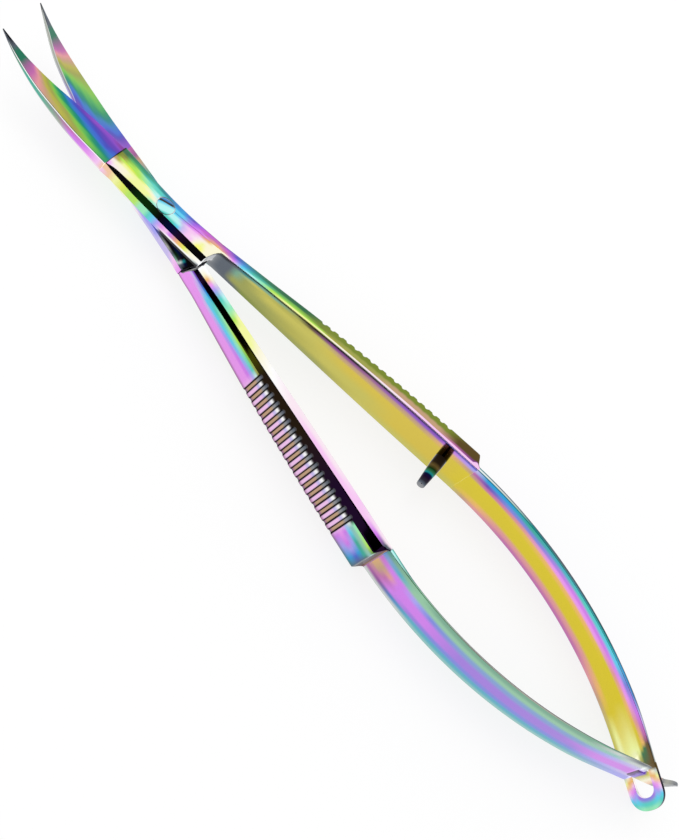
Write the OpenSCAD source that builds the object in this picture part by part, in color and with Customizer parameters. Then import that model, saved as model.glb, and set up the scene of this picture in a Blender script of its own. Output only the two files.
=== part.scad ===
// Spring-action squeeze snips: two crossing halves that turn on one slotted screw.
// Frame: +X from the pivot to the spring end, +Y to the front half's grip, +Z up.
// Origin: pivot axis on the flat underside of the lap joint.

/* [Blades] */
// Distance from the pivot to the blade tips
tip_reach = 29.4; // [27.5:0.1:31]
// Distance from the pivot to the step where the blades begin
blade_root = 8.8; // [8.4:0.1:9.2]
// Radius of the upward sweep of the blades
sweep_r = 52; // [46:1:80]
// Distance from the pivot at which the upward sweep begins
sweep_from = 12; // [11:0.5:14]
// Rise of the front blade's top face per mm of blade width
front_blade_rise = 0.42; // [0.36:0.01:0.46]
// Fall of the back blade's underside per mm of blade width
back_blade_fall = 0.33; // [0.26:0.01:0.38]
// Thickness left at the cutting edges
edge_t = 0.14; // [0.1:0.01:0.2]

/* [Lap joint] */
// Full width of both halves where the blades begin
joint_w = 5.67; // [5.5:0.01:5.8]
// Full thickness of the closed lap joint
joint_t = 4.5; // [4.2:0.1:4.8]
// Height of the lap plane above the underside
lap_h = 1.84; // [1.7:0.02:2]
// Clearance between the two lapped faces
lap_gap = 0.05; // [0.03:0.01:0.08]
// Distance from the pivot to the grip shoulders
shoulder_x = 8.1; // [7.9:0.1:8.4]
// Slope of the long facet on top of the joint
facet_slope = 0.65; // [0.5:0.01:0.7]

/* [Pivot screw] */
// Radius of the screw head
head_r = 1.3; // [1.15:0.05:1.4]
// Depth of the head below the flat top of the joint
head_depth = 1.5; // [1.3:0.05:1.7]
// Radius of the screw's shank
shank_r = 0.85; // [0.75:0.05:0.95]
// Radial clearance of head and shank in the front half
pivot_clear = 0.05; // [0.02:0.01:0.08]
// Width of the driver slot
slot_w = 0.4; // [0.3:0.05:0.5]
// Depth of the driver slot below the flat top
slot_d = 1; // [0.9:0.05:1.1]
// Offset of the driver slot from the screw's centre
slot_off = 0.5; // [0:0.05:0.55]

/* [Grips] */
// Distance from the pivot to the step at the grip's end
grip_end = 49; // [47:0.5:51]
// Half gap between the grips at the shoulders
gap_root = 1.25; // [1.15:0.05:1.4]
// Half gap between the grips at their end
gap_end = 7.85; // [7.6:0.05:8.1]
// Outward bow of the inner face at mid grip
grip_bow = 0.18; // [0.1:0.02:0.26]
// Grip thickness at the shoulders
grip_t_root = 1.7; // [1.6:0.05:1.9]
// Grip thickness at the step
grip_t_end = 2.2; // [2.1:0.05:2.4]
// Full width of the grips and springs, standing up from the table
grip_w = 8.6; // [8.2:0.1:9]
// Width of the upper outer chamfer at the shoulders
chamfer_root = 1.1; // [0.8:0.1:1.3]
// Width of the upper outer chamfer at the step
chamfer_w = 1.4; // [1.2:0.1:1.6]
// Fall of the chamfers per mm of their width
chamfer_slope = 0.4; // [0.3:0.05:0.6]
// Number of finger grooves on each grip
groove_n = 17; // [12:1:17]
// Spacing of the finger grooves
groove_pitch = 1.27; // [1.1:0.01:1.3]
// Radius of each finger groove
groove_r = 0.36; // [0.3:0.02:0.4]
// Depth of each finger groove
groove_d = 0.26; // [0.2:0.02:0.3]

/* [Springs] */
// Thickness of the spring leaves
leaf_t = 0.55; // [0.5:0.05:0.65]
// Radius of the bowed spring leaves
leaf_r = 66; // [64:1:68]
// Direction of the leaf where it leaves the grip, in degrees from X
leaf_a0 = 9; // [8.5:0.25:9.5]
// Direction of the leaf's straight end, in degrees from X
leaf_a1 = 26.5; // [25.5:0.5:27.5]
// Arc of leaf that stays rigid with the grip, in degrees
stub_arc = 3.5; // [3:0.25:4]
// Length of the eye beyond the crossing of the leaves
eye_len = 4.5; // [4.2:0.1:5]
// Half width of the slot in the eye
slot_half = 2.2; // [2:0.05:2.4]
// Length of the slot beyond the crossing
slot_len = 2.85; // [2.6:0.05:3]
// Half width of the tongue's neck
neck_half = 1.5; // [1.3:0.05:1.7]
// Half width of the tongue's hook head
hook_half = 2.1; // [1.9:0.05:2.3]
// Length of the tongue beyond the crossing
tongue_len = 4.9; // [4.6:0.1:5.2]
// Clearance between the eye and the tongue's shoulders
link_clear = 0.12; // [0.08:0.01:0.16]

/* [Stop pin] */
// Distance from the pivot to the stop pin's root
pin_x = 46.3; // [45.5:0.1:46.5]
// Length of the stop pin that stands out of the grip
pin_len = 4.8; // [4.5:0.05:5]
// Radius of the stop pin at the grip
pin_r = 0.72; // [0.65:0.01:0.8]
// Radius of the stop pin at its tip
pin_tip_r = 0.5; // [0.45:0.01:0.6]
// Depth of the stop pin's seat in the grip
pin_seat = 1.3; // [1.2:0.05:1.5]

/* [Hidden] */
$fn = 96;
leaf_fn = 360;
mid_z = joint_t / 2;
root_half = mid_z + 0.05;
grip_half = grip_w / 2;
// stretch of the blade outlines along X, and of blades and joint across
bx = tip_reach / 29.4;
by = joint_w / 5.67;
grip_mid = (shoulder_x + grip_end) / 2;
gap_mid = (gap_root + gap_end) / 2 + grip_bow;
// heading of the grip's outer run
grip_a = atan((gap_end - gap_mid) / (grip_end - grip_mid));
// centre line of the leaf at the grip's end
leaf_x0 = grip_end - leaf_t / 2 * sin(leaf_a0);
leaf_y0 = gap_end + leaf_t / 2 * cos(leaf_a0);
bow_x = leaf_x0 + leaf_r * sin(leaf_a0);
bow_y = leaf_y0 - leaf_r * cos(leaf_a0);
// straight end of the leaf, up to where the two leaves cross
tail_len = (leaf_y0 - leaf_r * (cos(leaf_a0) - cos(leaf_a1))) / sin(leaf_a1);
cross_x = leaf_x0 + leaf_r * (sin(leaf_a0) + sin(leaf_a1)) + tail_len * cos(leaf_a1);
// the eye begins this far before the crossing
eye_back = 1.7;
slot_back = 1;
// reach of the tools that cut the facets and bevels of the joint
reach = 20;
// spread of the ridge on top of the joint towards the blades and towards the grip, per mm
ridge_back = 0.03;
ridge_out = 0.215;
bevel_slope = 0.75;
shoulder_out = 0.3;
shoulder_in = 1.1;

function inner_y(x) = lookup(x, [[shoulder_x, gap_root], [grip_mid, gap_mid], [grip_end, gap_end]]);
function thick(x) = grip_t_root
  + (grip_t_end - grip_t_root) * (x - shoulder_x) / (grip_end - shoulder_x);
function outer_y(x) = inner_y(x) + thick(x);
function side_half(x) = root_half + (grip_half - root_half) * sin(90 * min(1, (x - shoulder_x) / 36));
function chamfer_y(x) = chamfer_root
  + (chamfer_w - chamfer_root) * (x - shoulder_x) / (grip_end - shoulder_x);
// height of the curved face where the blades meet
function lap_z(x) = lap_h + (x > -sweep_from ? 0 : sweep_r - sqrt(sweep_r * sweep_r
  - (x + sweep_from) * (x + sweep_from)));

// cutting edges and spines of the blades, tip first, before the stretches
front_edge = [[-29.4, -1.5], [-25.1, -0.9], [-21.3, -0.12], [-17.7, 0.72], [-14.3, 1.4], [-8, 2]];
front_spine = [[-29.4, -1.6], [-27, -2.08], [-24.5, -2.43], [-22, -2.65], [-17, -2.77], [-8, -2.6]];
back_edge = [[-29.4, 4.76], [-26.1, 3.3], [-23.1, 2.12], [-20.4, 1.36], [-17.7, 0.73],
  [-13.5, -0.5], [-8, -1.4]];
back_spine = [[-29.4, 4.86], [-26, 4.42], [-21.7, 4.1], [-17, 3.8], [-12.8, 3.4], [-8, 3]];

module front_half_color() { color([0.72, 0.66, 0.3]) children(); }
module back_half_color() { color([0.7, 0.5, 0.78]) children(); }

// profile in x and height, swept along +Y while it falls by slope per mm
module sloped(profile, slope) {
  a = atan(slope);
  rotate([90 - a, 0, 0])
    linear_extrude(height = 60, center = true)
      polygon([for (p = profile) [p[0], p[1] * cos(a)]]);
}

// profile in x and z, swept straight along Y
module side_shape(profile) {
  sloped(profile, 0);
}

// inside of the upward sweep, above the lap face
module above_lap(lift) {
  intersection() {
    translate([-60, -20, lap_h + lift])
      cube([120, 40, 20]);
    union() {
      translate([-sweep_from, 0, lap_h + sweep_r])
        rotate([90, 0, 0])
          cylinder(r = sweep_r - lift, h = 40, center = true, $fn = leaf_fn);
      translate([-sweep_from, -20, lap_h + lift])
        cube([80, 40, 20]);
    }
  }
}

function outline_y(x, outline) = by * lookup(x / bx, outline);
function off_root(outline) = [for (p = outline) if (p[0] * bx < -blade_root - 0.5) [p[0] * bx, p[1] * by]];

module blade_plan(edge, spine) {
  s = off_root(spine);
  n = len(s);
  polygon(concat(
    off_root(edge),
    [[-blade_root, outline_y(-blade_root, edge)]],
    [[-blade_root, outline_y(-blade_root, spine)]],
    [for (i = [1 : n]) s[n - i]]
  ));
}

module front_blade() {
  steps = 14;
  x1 = -tip_reach - 1;
  dx = (x1 + blade_root) / steps;
  front_half_color()
    intersection() {
      linear_extrude(height = 12)
        blade_plan(front_edge, front_spine);
      above_lap(lap_gap);
      sloped(concat(
        [for (i = [0 : steps]) let (x = -blade_root + dx * i)
          [x, lap_z(x) + lap_gap + edge_t + front_blade_rise * outline_y(x, front_edge)]],
        [[x1, -20], [-blade_root, -20]]
      ), front_blade_rise);
    }
}

module back_blade() {
  steps = 14;
  x1 = -tip_reach - 1;
  dx = (x1 + blade_root) / steps;
  back_half_color()
    intersection() {
      difference() {
        linear_extrude(height = 12)
          blade_plan(back_edge, back_spine);
        above_lap(0);
      }
      sloped(concat(
        [for (i = [0 : steps]) let (x = -blade_root + dx * i)
          [x, lap_z(x) - edge_t + back_blade_fall * outline_y(x, back_edge)]],
        [[x1, 40], [-blade_root, 40]]
      ), back_blade_fall);
    }
}

// corners inside the joint, as shares of the distances to the blades' step and to the shoulders
front_waist_x = -0.42 * blade_root;
back_waist_x = -0.56 * blade_root;
flare_x = 0.32 * shoulder_x;
lip_x = 0.957 * shoulder_x;

module front_block_plan() {
  polygon([
    [-blade_root, -2.62 * by], [front_waist_x, -2.2 * by], [0, -1.9 * by], [lip_x, -1.15 * by],
    [shoulder_x, 0.3 * by], [shoulder_x, outer_y(shoulder_x)], [flare_x, 2.13 * by], [0, 1.95 * by],
    [-blade_root, 1.6 * by]
  ]);
}

module back_block_plan() {
  polygon([
    [-blade_root, 3.05 * by], [back_waist_x, 2.7 * by], [0, 2.2 * by], [lip_x, 1.15 * by],
    [shoulder_x, -0.3 * by], [shoulder_x, -outer_y(shoulder_x)], [flare_x, -2.2 * by], [0, -1.9 * by],
    [-blade_root, -1.5 * by]
  ]);
}

// long facet that falls to +Y from a ridge through the pivot
module front_block_top() {
  sloped([
    [-reach, joint_t - ridge_back * reach * facet_slope], [0, joint_t],
    [reach, joint_t + ridge_out * reach * facet_slope], [reach, -reach], [-reach, -reach]
  ], facet_slope);
}

// bevel that falls to -Y
module front_block_bevel() {
  mirror([0, 1, 0])
    sloped([
      [-blade_root - 1, joint_t + 2.3 * by * bevel_slope], [front_waist_x, joint_t + 1.3 * by * bevel_slope],
      [0, joint_t + 0.95 * by * bevel_slope], [shoulder_x + 1, joint_t + 0.63 * by * bevel_slope],
      [shoulder_x + 1, -reach], [-blade_root - 1, -reach]
    ], bevel_slope);
}

module front_joint_half() {
  front_half_color()
    difference() {
      intersection() {
        translate([0, 0, lap_h + lap_gap])
          linear_extrude(height = joint_t - lap_h - lap_gap)
            front_block_plan();
        front_block_top();
        front_block_bevel();
      }
      translate([0, 0, joint_t - head_depth - pivot_clear])
        cylinder(r = head_r + pivot_clear, h = 10);
      cylinder(r = shank_r + pivot_clear, h = 10);
    }
}

module back_joint_half() {
  back_half_color()
    difference() {
      intersection() {
        linear_extrude(height = lap_h)
          back_block_plan();
        // narrow bevels along both lower edges
        for (side = [0, 1])
          mirror([0, side, 0])
            sloped([
              [-reach, -1.6 * by * bevel_slope], [reach, -1.6 * by * bevel_slope],
              [reach, reach], [-reach, reach]
            ], -bevel_slope);
      }
      translate([0, 0, -1])
        cylinder(r = shank_r, h = 10);
    }
}

module grip_plan() {
  polygon(concat(
    [[shoulder_x, gap_root], [grip_mid, gap_mid], [grip_end, gap_end]],
    [[grip_end + 0.6, gap_end + 0.1]],
    [[grip_end + 0.7, gap_end + leaf_t + 0.1]],
    [[grip_end, outer_y(grip_end)]],
    [[grip_mid, outer_y(grip_mid)], [shoulder_x, outer_y(shoulder_x)]]
  ));
}

module leaf_arc(from_a, to_a) {
  translate([bow_x, bow_y, mid_z - grip_half])
    rotate([0, 0, from_a])
      rotate_extrude(angle = to_a - from_a, $fn = leaf_fn)
        translate([leaf_r - leaf_t / 2, 0])
          square([leaf_t, grip_w]);
}

module grip_blank() {
  xs = [for (i = [0 : 9]) shoulder_x + 4 * i];
  intersection() {
    translate([0, 0, mid_z - 6])
      linear_extrude(height = 12)
        grip_plan();
    side_shape(concat(
      [for (x = xs) [x, mid_z + side_half(x)]],
      [[60, mid_z + grip_half], [60, mid_z - grip_half]],
      [for (i = [0 : 9]) [xs[9 - i], mid_z - side_half(xs[9 - i])]]
    ));
    sloped(concat(
      [for (x = concat(xs, [grip_end + 1])) [x, mid_z + side_half(x)
        + chamfer_slope * (outer_y(x) - chamfer_y(x))]],
      [[60, -20], [0, -20]]
    ), chamfer_slope);
    sloped(concat(
      [for (x = concat(xs, [grip_end + 1])) [x, mid_z - side_half(x)
        - chamfer_slope * (outer_y(x) - 0.6)]],
      [[60, 40], [0, 40]]
    ), -chamfer_slope);
  }
}

module finger_grooves() {
  step_x = groove_pitch * cos(grip_a);
  last_x = grip_end - 5.1;
  for (i = [0 : groove_n - 1])
    translate([last_x - step_x * i, outer_y(last_x - step_x * i) + groove_r - groove_d, mid_z - 6])
      cylinder(r = groove_r, h = 12, $fn = 32);
}

module grip() {
  difference() {
    grip_blank();
    finger_grooves();
  }
  leaf_arc(90 + leaf_a0 - stub_arc, 90 + leaf_a0);
}

module at_pin() {
  translate([pin_x, inner_y(pin_x), mid_z])
    rotate([90, 0, grip_a])
      children();
}

module front_grip() {
  front_half_color()
    difference() {
      grip();
      at_pin()
        translate([0, 0, -pin_seat])
          cylinder(r = pin_r, h = pin_seat + 1);
    }
}

module back_grip() {
  back_half_color()
    mirror([0, 1, 0])
      grip();
}

// bowed leaf from the grip's stub on, with its straight end up to the eye
module spring_arm() {
  leaf_arc(90 - leaf_a1, 90 + leaf_a0 - stub_arc);
  translate([bow_x, bow_y, mid_z - grip_half])
    rotate([0, 0, 90 - leaf_a1])
      translate([leaf_r - leaf_t / 2, eye_back - tail_len, 0])
        cube([leaf_t, tail_len - eye_back, grip_w]);
}

module front_spring_arm() {
  front_half_color()
    spring_arm();
}

module back_spring_arm() {
  back_half_color()
    mirror([0, 1, 0])
      spring_arm();
}

// plate outlines lie in distance along the leaf and height from mid width
module stand_up(a) {
  translate([cross_x, 0, mid_z])
    rotate([0, 0, a])
      rotate([90, 0, 0])
        linear_extrude(height = leaf_t, center = true)
          children();
}

module front_spring_eye() {
  r = 2.3;
  sr = 1;
  front_half_color()
    stand_up(-leaf_a1)
      difference() {
        union() {
          translate([-eye_back, -grip_half])
            square([eye_len - r + eye_back, grip_w]);
          translate([-eye_back, -grip_half + r])
            square([eye_len + eye_back, grip_w - 2 * r]);
          for (s = [-1, 1])
            translate([eye_len - r, s * (grip_half - r)])
              circle(r = r);
        }
        translate([-slot_back, -slot_half])
          square([slot_len - sr + slot_back, 2 * slot_half]);
        translate([-slot_back, -slot_half + sr])
          square([slot_len + slot_back, 2 * slot_half - 2 * sr]);
        for (s = [-1, 1])
          translate([slot_len - sr, s * (slot_half - sr)])
            circle(r = sr);
      }
}

module back_spring_tongue() {
  back_half_color() {
    // neck and hook head
    stand_up(leaf_a1)
      polygon([
        [-eye_back, -neck_half], [tongue_len - 2.2, -neck_half], [tongue_len - 1.6, -hook_half],
        [tongue_len - 0.7, -hook_half], [tongue_len, -0.6], [tongue_len, 0.6],
        [tongue_len - 0.7, hook_half], [tongue_len - 1.6, hook_half], [tongue_len - 2.2, neck_half],
        [-eye_back, neck_half]
      ]);
    // full-width shoulders with their ends cut back towards the eye
    translate([cross_x, 0, mid_z])
      rotate([0, 0, leaf_a1])
        translate([0, 0, -grip_half])
          linear_extrude(height = grip_w)
            polygon([
              [-eye_back, -leaf_t / 2], [-shoulder_out - link_clear, -leaf_t / 2],
              [-shoulder_in - link_clear, leaf_t / 2], [-eye_back, leaf_t / 2]
            ]);
  }
}

module pivot_screw() {
  color([0.45, 0.75, 0.78])
    difference() {
      intersection() {
        union() {
          cylinder(r = shank_r, h = joint_t);
          translate([0, 0, joint_t - head_depth])
            cylinder(r = head_r, h = head_depth);
        }
        front_block_top();
      }
      rotate([0, 0, 28])
        translate([-5, slot_off - slot_w / 2, joint_t - slot_d])
          cube([10, slot_w, 5]);
    }
}

module stop_pin() {
  color([0.25, 0.25, 0.3])
    at_pin()
      union() {
        translate([0, 0, -pin_seat])
          cylinder(r = pin_r, h = pin_seat);
        cylinder(r1 = pin_r, r2 = pin_tip_r, h = pin_len);
      }
}

front_blade();
front_joint_half();
front_grip();
front_spring_arm();
front_spring_eye();
back_blade();
back_joint_half();
back_grip();
back_spring_arm();
back_spring_tongue();
pivot_screw();
stop_pin();
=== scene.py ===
"""Spring-action squeeze snips with a rainbow oxide film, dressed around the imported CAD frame.

Frame: +X from the pivot to the spring end, +Y to the front half's grip, +Z up, in metres.
Shapes below are worked out in millimetres and become metres when a mesh is made.
"""

import copy
import math

import bpy
import numpy as np
from bpy.props import FloatProperty, FloatVectorProperty, IntProperty, PointerProperty
from bpy.types import Operator, Panel, PropertyGroup
from mathutils import Matrix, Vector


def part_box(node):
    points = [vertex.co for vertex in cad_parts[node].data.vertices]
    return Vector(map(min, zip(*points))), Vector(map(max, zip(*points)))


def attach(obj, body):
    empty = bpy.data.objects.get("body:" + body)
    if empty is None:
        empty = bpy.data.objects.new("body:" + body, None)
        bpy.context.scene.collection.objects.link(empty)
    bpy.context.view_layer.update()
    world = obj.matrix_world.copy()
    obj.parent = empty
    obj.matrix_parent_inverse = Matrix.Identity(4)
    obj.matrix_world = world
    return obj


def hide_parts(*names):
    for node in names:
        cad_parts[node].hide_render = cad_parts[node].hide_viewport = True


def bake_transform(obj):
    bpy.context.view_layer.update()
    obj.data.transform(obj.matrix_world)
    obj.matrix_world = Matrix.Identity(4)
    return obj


bl_info = {
    "name": "Rainbow squeeze snips",
    "version": (1, 0, 0),
    "blender": (4, 5, 0),
    "location": "View3D > Sidebar > Snips",
    "description": "Builds the looks of spring-action squeeze snips around their CAD frame",
    "category": "Mesh",
}

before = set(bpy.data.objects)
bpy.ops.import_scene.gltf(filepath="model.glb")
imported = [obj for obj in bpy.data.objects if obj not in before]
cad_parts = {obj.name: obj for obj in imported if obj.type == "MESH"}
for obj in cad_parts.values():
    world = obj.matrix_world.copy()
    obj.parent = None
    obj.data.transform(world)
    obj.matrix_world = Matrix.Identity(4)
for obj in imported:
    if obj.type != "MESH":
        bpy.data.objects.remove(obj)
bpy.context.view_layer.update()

MM = 0.001
UV_NAME = "film"
# the film's along coordinate is stored in tenths of a metre, so that it stays near 0 to 1
ALONG_SCALE = 0.01
# edges that turn by more than this many degrees are drawn crisp
CRISP = 38


def low(node, axis):
    """Lowest coordinate of a CAD node along an axis, in millimetres."""
    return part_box(node)[0][axis] / MM


def high(node, axis):
    """Highest coordinate of a CAD node along an axis, in millimetres."""
    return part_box(node)[1][axis] / MM


TIP_X = low("front_blade", 0)
ROOT_X = high("front_blade", 0)
SHOULDER_X = high("front_joint_half", 0)
TOP_Z = high("front_joint_half", 2)
LAP_Z = high("back_joint_half", 2)
LAP_GAP = low("front_joint_half", 2) - LAP_Z
MID_Z = TOP_Z / 2
GRIP_HALF = (high("front_spring_arm", 2) - low("front_spring_arm", 2)) / 2
TABLE_Z = low("back_spring_arm", 2)


# ---------------------------------------------------------------- colours of the film, and of the highlights and shade painted on it

FILM = {
    "white": "ffffff",
    "cream": "fcf7d8",
    "straw": "f4f9a2",
    "yellow": "e4ec56",
    "gold": "dac240",
    "sand": "cbc358",
    "ochre": "b8b34e",
    "olive": "a0a352",
    "moss": "7b8a34",
    "bronze": "5c4a26",
    "lime": "b6e85c",
    "leaf": "86c44e",
    "fern": "56b25e",
    "green": "2f9668",
    "emerald": "227659",
    "forest": "2c6a44",
    "sage": "7aac92",
    "mint": "98ecbc",
    "jade": "3aac98",
    "teal": "1a8488",
    "aqua": "56d0c2",
    "cyan": "60d0f2",
    "ice": "b8f7f3",
    "sky": "2aa0dc",
    "azure": "3a7dc2",
    "blue": "446ad0",
    "indigo": "4c50bc",
    "violet": "6a46b8",
    "purple": "8e52c6",
    "amethyst": "a47ae0",
    "grape": "a45ee6",
    "fuchsia": "c65cd0",
    "plum": "8a4296",
    "lilac": "a8a4f4",
    "lavender": "cabef0",
    "orchid": "d47eee",
    "rose": "ee9af4",
    "pink": "f8c8f4",
    "blush": "fbe8f3",
    "magenta": "c26cac",
    "mauve": "9e6896",
    "salmon": "e29a9c",
    "peach": "f6c8a2",
    "orange": "f0ba68",
    "amber": "dcc81e",
    "butter": "e8dc70",
    "lemon": "fafa80",
    "tan": "c4a07e",
    "stone": "a6a69c",
    "reed": "94c8a4",
    "foam": "8cc6c0",
    "lagoon": "4eaec6",
    "mist": "80a0d4",
    "periwinkle": "7c88e0",
    "grey": "8c8e92",
    "silver": "ccd4d0",
    "slate": "58606c",
    "charcoal": "2c2a34",
    "black": "0a080a",
    "ink green": "0b2a0a",
    "ink olive": "403f08",
    "ink brown": "241a10",
    "ink blue": "050e38",
    "ink purple": "1e0c28",
}


def linear(name):
    """Linear colour of a named film colour: each channel c of 0 to 1 is c/12.92 up to 0.04045,
    and ((c + 0.055) / 1.055) to the power 2.4 above."""
    c = np.array([int(FILM[name][i:i + 2], 16) for i in (0, 2, 4)]) / 255
    c = np.where(c <= 0.04045, c / 12.92, ((c + 0.055) / 1.055) ** 2.4)
    return (*c.tolist(), 1.0)


# ---------------------------------------------------------------- shape tools

def through(x, knots):
    """A cubic through the knots: between two knots it is Hermite's cubic, whose slope at each
    knot is the slope between the knot's neighbours. Outside the knots the end values hold."""
    kx, ky = np.array(knots, float).T
    slope = np.gradient(ky, kx)
    i = np.clip(np.searchsorted(kx, x) - 1, 0, len(kx) - 2)
    h = kx[i + 1] - kx[i]
    t = np.clip((x - kx[i]) / h, 0, 1)
    start = (1 + 2 * t) * (1 - t) ** 2 * ky[i] + t * (1 - t) ** 2 * h * slope[i]
    end = t * t * (3 - 2 * t) * ky[i + 1] + t * t * (t - 1) * h * slope[i + 1]
    return start + end


def ease(x, start, end):
    """0 before start, 1 after end, and 3t^2 - 2t^3 between them."""
    t = np.clip((x - start) / (end - start), 0, 1)
    return t * t * (3 - 2 * t)


def stack(*columns):
    """Corners as (stations, corners, 3) from one (x, y, z) triple per corner; numbers are spread."""
    n = max(np.size(part) for column in columns for part in column)
    return np.stack([
        np.stack([np.broadcast_to(np.asarray(part, float), (n,)) for part in column], -1)
        for column in columns
    ], 1)


class Skin:
    """A tube of points: a closed section of rounded corners carried from station to station.

    Corner i becomes a quadratic curve that leaves the side before it and joins the side after
    it at the corner's radius from the corner. Side i runs from corner i to corner i + 1, owns
    the near half of both curves, and has its own finish. `across` goes 0 to 1 along each side."""

    def __init__(self, corners, radii, cuts, along, arc=4):
        n, k, _ = corners.shape
        radii = np.broadcast_to(np.asarray(radii, float), (n, k)) if np.ndim(radii) < 2 else radii
        before = np.roll(corners, 1, axis=1) - corners
        after = np.roll(corners, -1, axis=1) - corners
        lb = np.linalg.norm(before, axis=2) + 1e-9
        la = np.linalg.norm(after, axis=2) + 1e-9
        r = np.minimum(radii, 0.46 * np.minimum(lb, la))[..., None]
        a = corners + before / lb[..., None] * r
        b = corners + after / la[..., None] * r
        t = np.linspace(0, 1, arc + 1)[:, None, None]
        columns, sides = [], []
        for i in range(k):
            columns += list((1 - t) ** 2 * a[:, i] + 2 * t * (1 - t) * corners[:, i] + t * t * b[:, i])
            sides += [(i - 1) % k] * (arc // 2) + [i] * (arc - arc // 2)
            nxt = (i + 1) % k
            for j in range(1, cuts[i] + 1):
                columns.append(b[:, i] + (a[:, nxt] - b[:, i]) * j / (cuts[i] + 1))
            sides += [i] * (cuts[i] + 1)
        half = arc // 2
        self.points = np.roll(np.stack(columns, 1), -half, axis=1)
        self.sides = np.roll(np.array(sides), -half)
        self.along = np.broadcast_to(np.asarray(along, float), (n,))
        self.measure()

    def measure(self):
        """Across values of both ends of each segment, from the lengths at every station."""
        step = np.linalg.norm(np.roll(self.points, -1, axis=1) - self.points, axis=2)
        self.v0, self.v1 = np.zeros_like(step), np.zeros_like(step)
        for s in np.unique(self.sides):
            own = np.flatnonzero(self.sides == s)
            total = np.cumsum(step[:, own], axis=1)
            self.v1[:, own] = total / (total[:, -1:] + 1e-9)
            self.v0[:, own[1:]] = self.v1[:, own[:-1]]

    def on_side(self, side):
        """Columns of the points that start or end a segment of the side."""
        hit = self.sides == side
        return np.flatnonzero(hit | np.roll(hit, 1))


def mirrored(skin):
    """The same skin on the other side of the XZ plane."""
    other = copy.copy(skin)
    other.points = skin.points * (1, -1, 1)
    return other


def turned(origin, axis, e1, e2, profile, sides=48):
    """A round skin: for each (distance along the axis, radius) of the profile, a ring of points
    origin + distance * axis + radius * (cos t * e1 + sin t * e2), with across = t / 2 pi."""
    d, r = np.array(profile, float).T
    t = np.arange(sides) / sides * 2 * math.pi
    ring = np.cos(t)[:, None] * np.array(e1) + np.sin(t)[:, None] * np.array(e2)
    skin = object.__new__(Skin)
    skin.points = np.array(origin) + d[:, None, None] * np.array(axis) + r[:, None, None] * ring
    skin.sides = np.zeros(sides, int)
    skin.along = d
    skin.v0 = np.broadcast_to(np.arange(sides) / sides, (len(d), sides))
    skin.v1 = skin.v0 + 1 / sides
    return skin


def inside_out(points):
    """True if the tube's quads enclose a negative volume: the sum of p0 . (p1 x p2) over their
    triangles, with the origin moved to the middle of the tube."""
    p = points - points.reshape(-1, 3).mean(0)
    a, b = p[:-1], p[1:]
    c, d = np.roll(b, -1, axis=1), np.roll(a, -1, axis=1)
    return (np.einsum("ijk,ijk->", a, np.cross(b, c)) + np.einsum("ijk,ijk->", a, np.cross(c, d))) < 0


def make_piece(name, skins, finishes, body=None, replaces=(), caps=0, crisp=CRISP):
    """One mesh from several skins. Quads run from station to station and around the section,
    and one many-sided face closes each end. finishes are named, side 0 first."""
    co, loops, totals, uvs, mats = [], [], [], [], []
    offset = 0
    for skin in skins:
        n, m, _ = skin.points.shape
        i, j = np.meshgrid(np.arange(n - 1), np.arange(m), indexing="ij")
        nj = (j + 1) % m
        quad = np.stack([i * m + j, (i + 1) * m + j, (i + 1) * m + nj, i * m + nj], -1).reshape(-1, 4)
        u0, u1 = skin.along[i] * ALONG_SCALE, skin.along[i + 1] * ALONG_SCALE
        v = [skin.v0[i, j], skin.v0[i + 1, j], skin.v1[i + 1, j], skin.v1[i, j]]
        uv = np.stack([np.stack([u, w], -1) for u, w in zip((u0, u1, u1, u0), v)], 2).reshape(-1, 4, 2)
        turn = -1 if inside_out(skin.points) else 1
        co.append(skin.points.reshape(-1, 3))
        loops.append((quad[:, ::turn] + offset).ravel())
        totals += [4] * len(quad)
        uvs.append(uv[:, ::turn].reshape(-1, 2))
        mats.append(np.broadcast_to(skin.sides, (n - 1, m)).ravel())
        first = np.arange(m)
        last = (n - 1) * m + np.arange(m)[::-1]
        for ring, at in ((first, 0), (last, -1)):
            loops.append(ring[::turn] + offset)
            totals.append(m)
            uvs.append(np.column_stack([np.full(m, skin.along[at] * ALONG_SCALE), np.full(m, 0.5)]))
            mats.append(np.array([caps]))
        offset += n * m
    co = np.concatenate(co) * MM
    loops = np.concatenate(loops)
    totals = np.array(totals)
    mesh = bpy.data.meshes.new(name)
    mesh.vertices.add(len(co))
    mesh.vertices.foreach_set("co", co.astype(np.float32).ravel())
    mesh.loops.add(len(loops))
    mesh.loops.foreach_set("vertex_index", loops.astype(np.int32))
    mesh.polygons.add(len(totals))
    mesh.polygons.foreach_set("loop_start", (np.cumsum(totals) - totals).astype(np.int32))
    mesh.polygons.foreach_set("material_index", np.concatenate(mats).astype(np.int32))
    layer = mesh.uv_layers.new(name=UV_NAME)
    layer.uv.foreach_set("vector", np.concatenate(uvs).astype(np.float32).ravel())
    for finish in finishes:
        mesh.materials.append(finish_for(finish))
    mesh.update(calc_edges=True)
    mesh.polygons.foreach_set("use_smooth", np.ones(len(totals), bool))
    mesh.set_sharp_from_angle(angle=math.radians(crisp))
    mesh.validate()
    piece = bpy.data.objects.new(name, mesh)
    bpy.context.scene.collection.objects.link(piece)
    if replaces:
        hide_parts(*replaces)
    if body:
        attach(piece, body)
    return piece


def end_finish(piece, index, beyond):
    """Gives finish number `index` to the faces past x = beyond (mm) that look along the piece."""
    faces = piece.data.polygons
    normal = np.empty(len(faces) * 3, np.float32)
    centre = np.empty(len(faces) * 3, np.float32)
    finish = np.empty(len(faces), np.int32)
    faces.foreach_get("normal", normal)
    faces.foreach_get("center", centre)
    faces.foreach_get("material_index", finish)
    finish[(centre[::3] > beyond * MM) & (normal[::3] > 0.7)] = index
    faces.foreach_set("material_index", finish)


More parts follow.
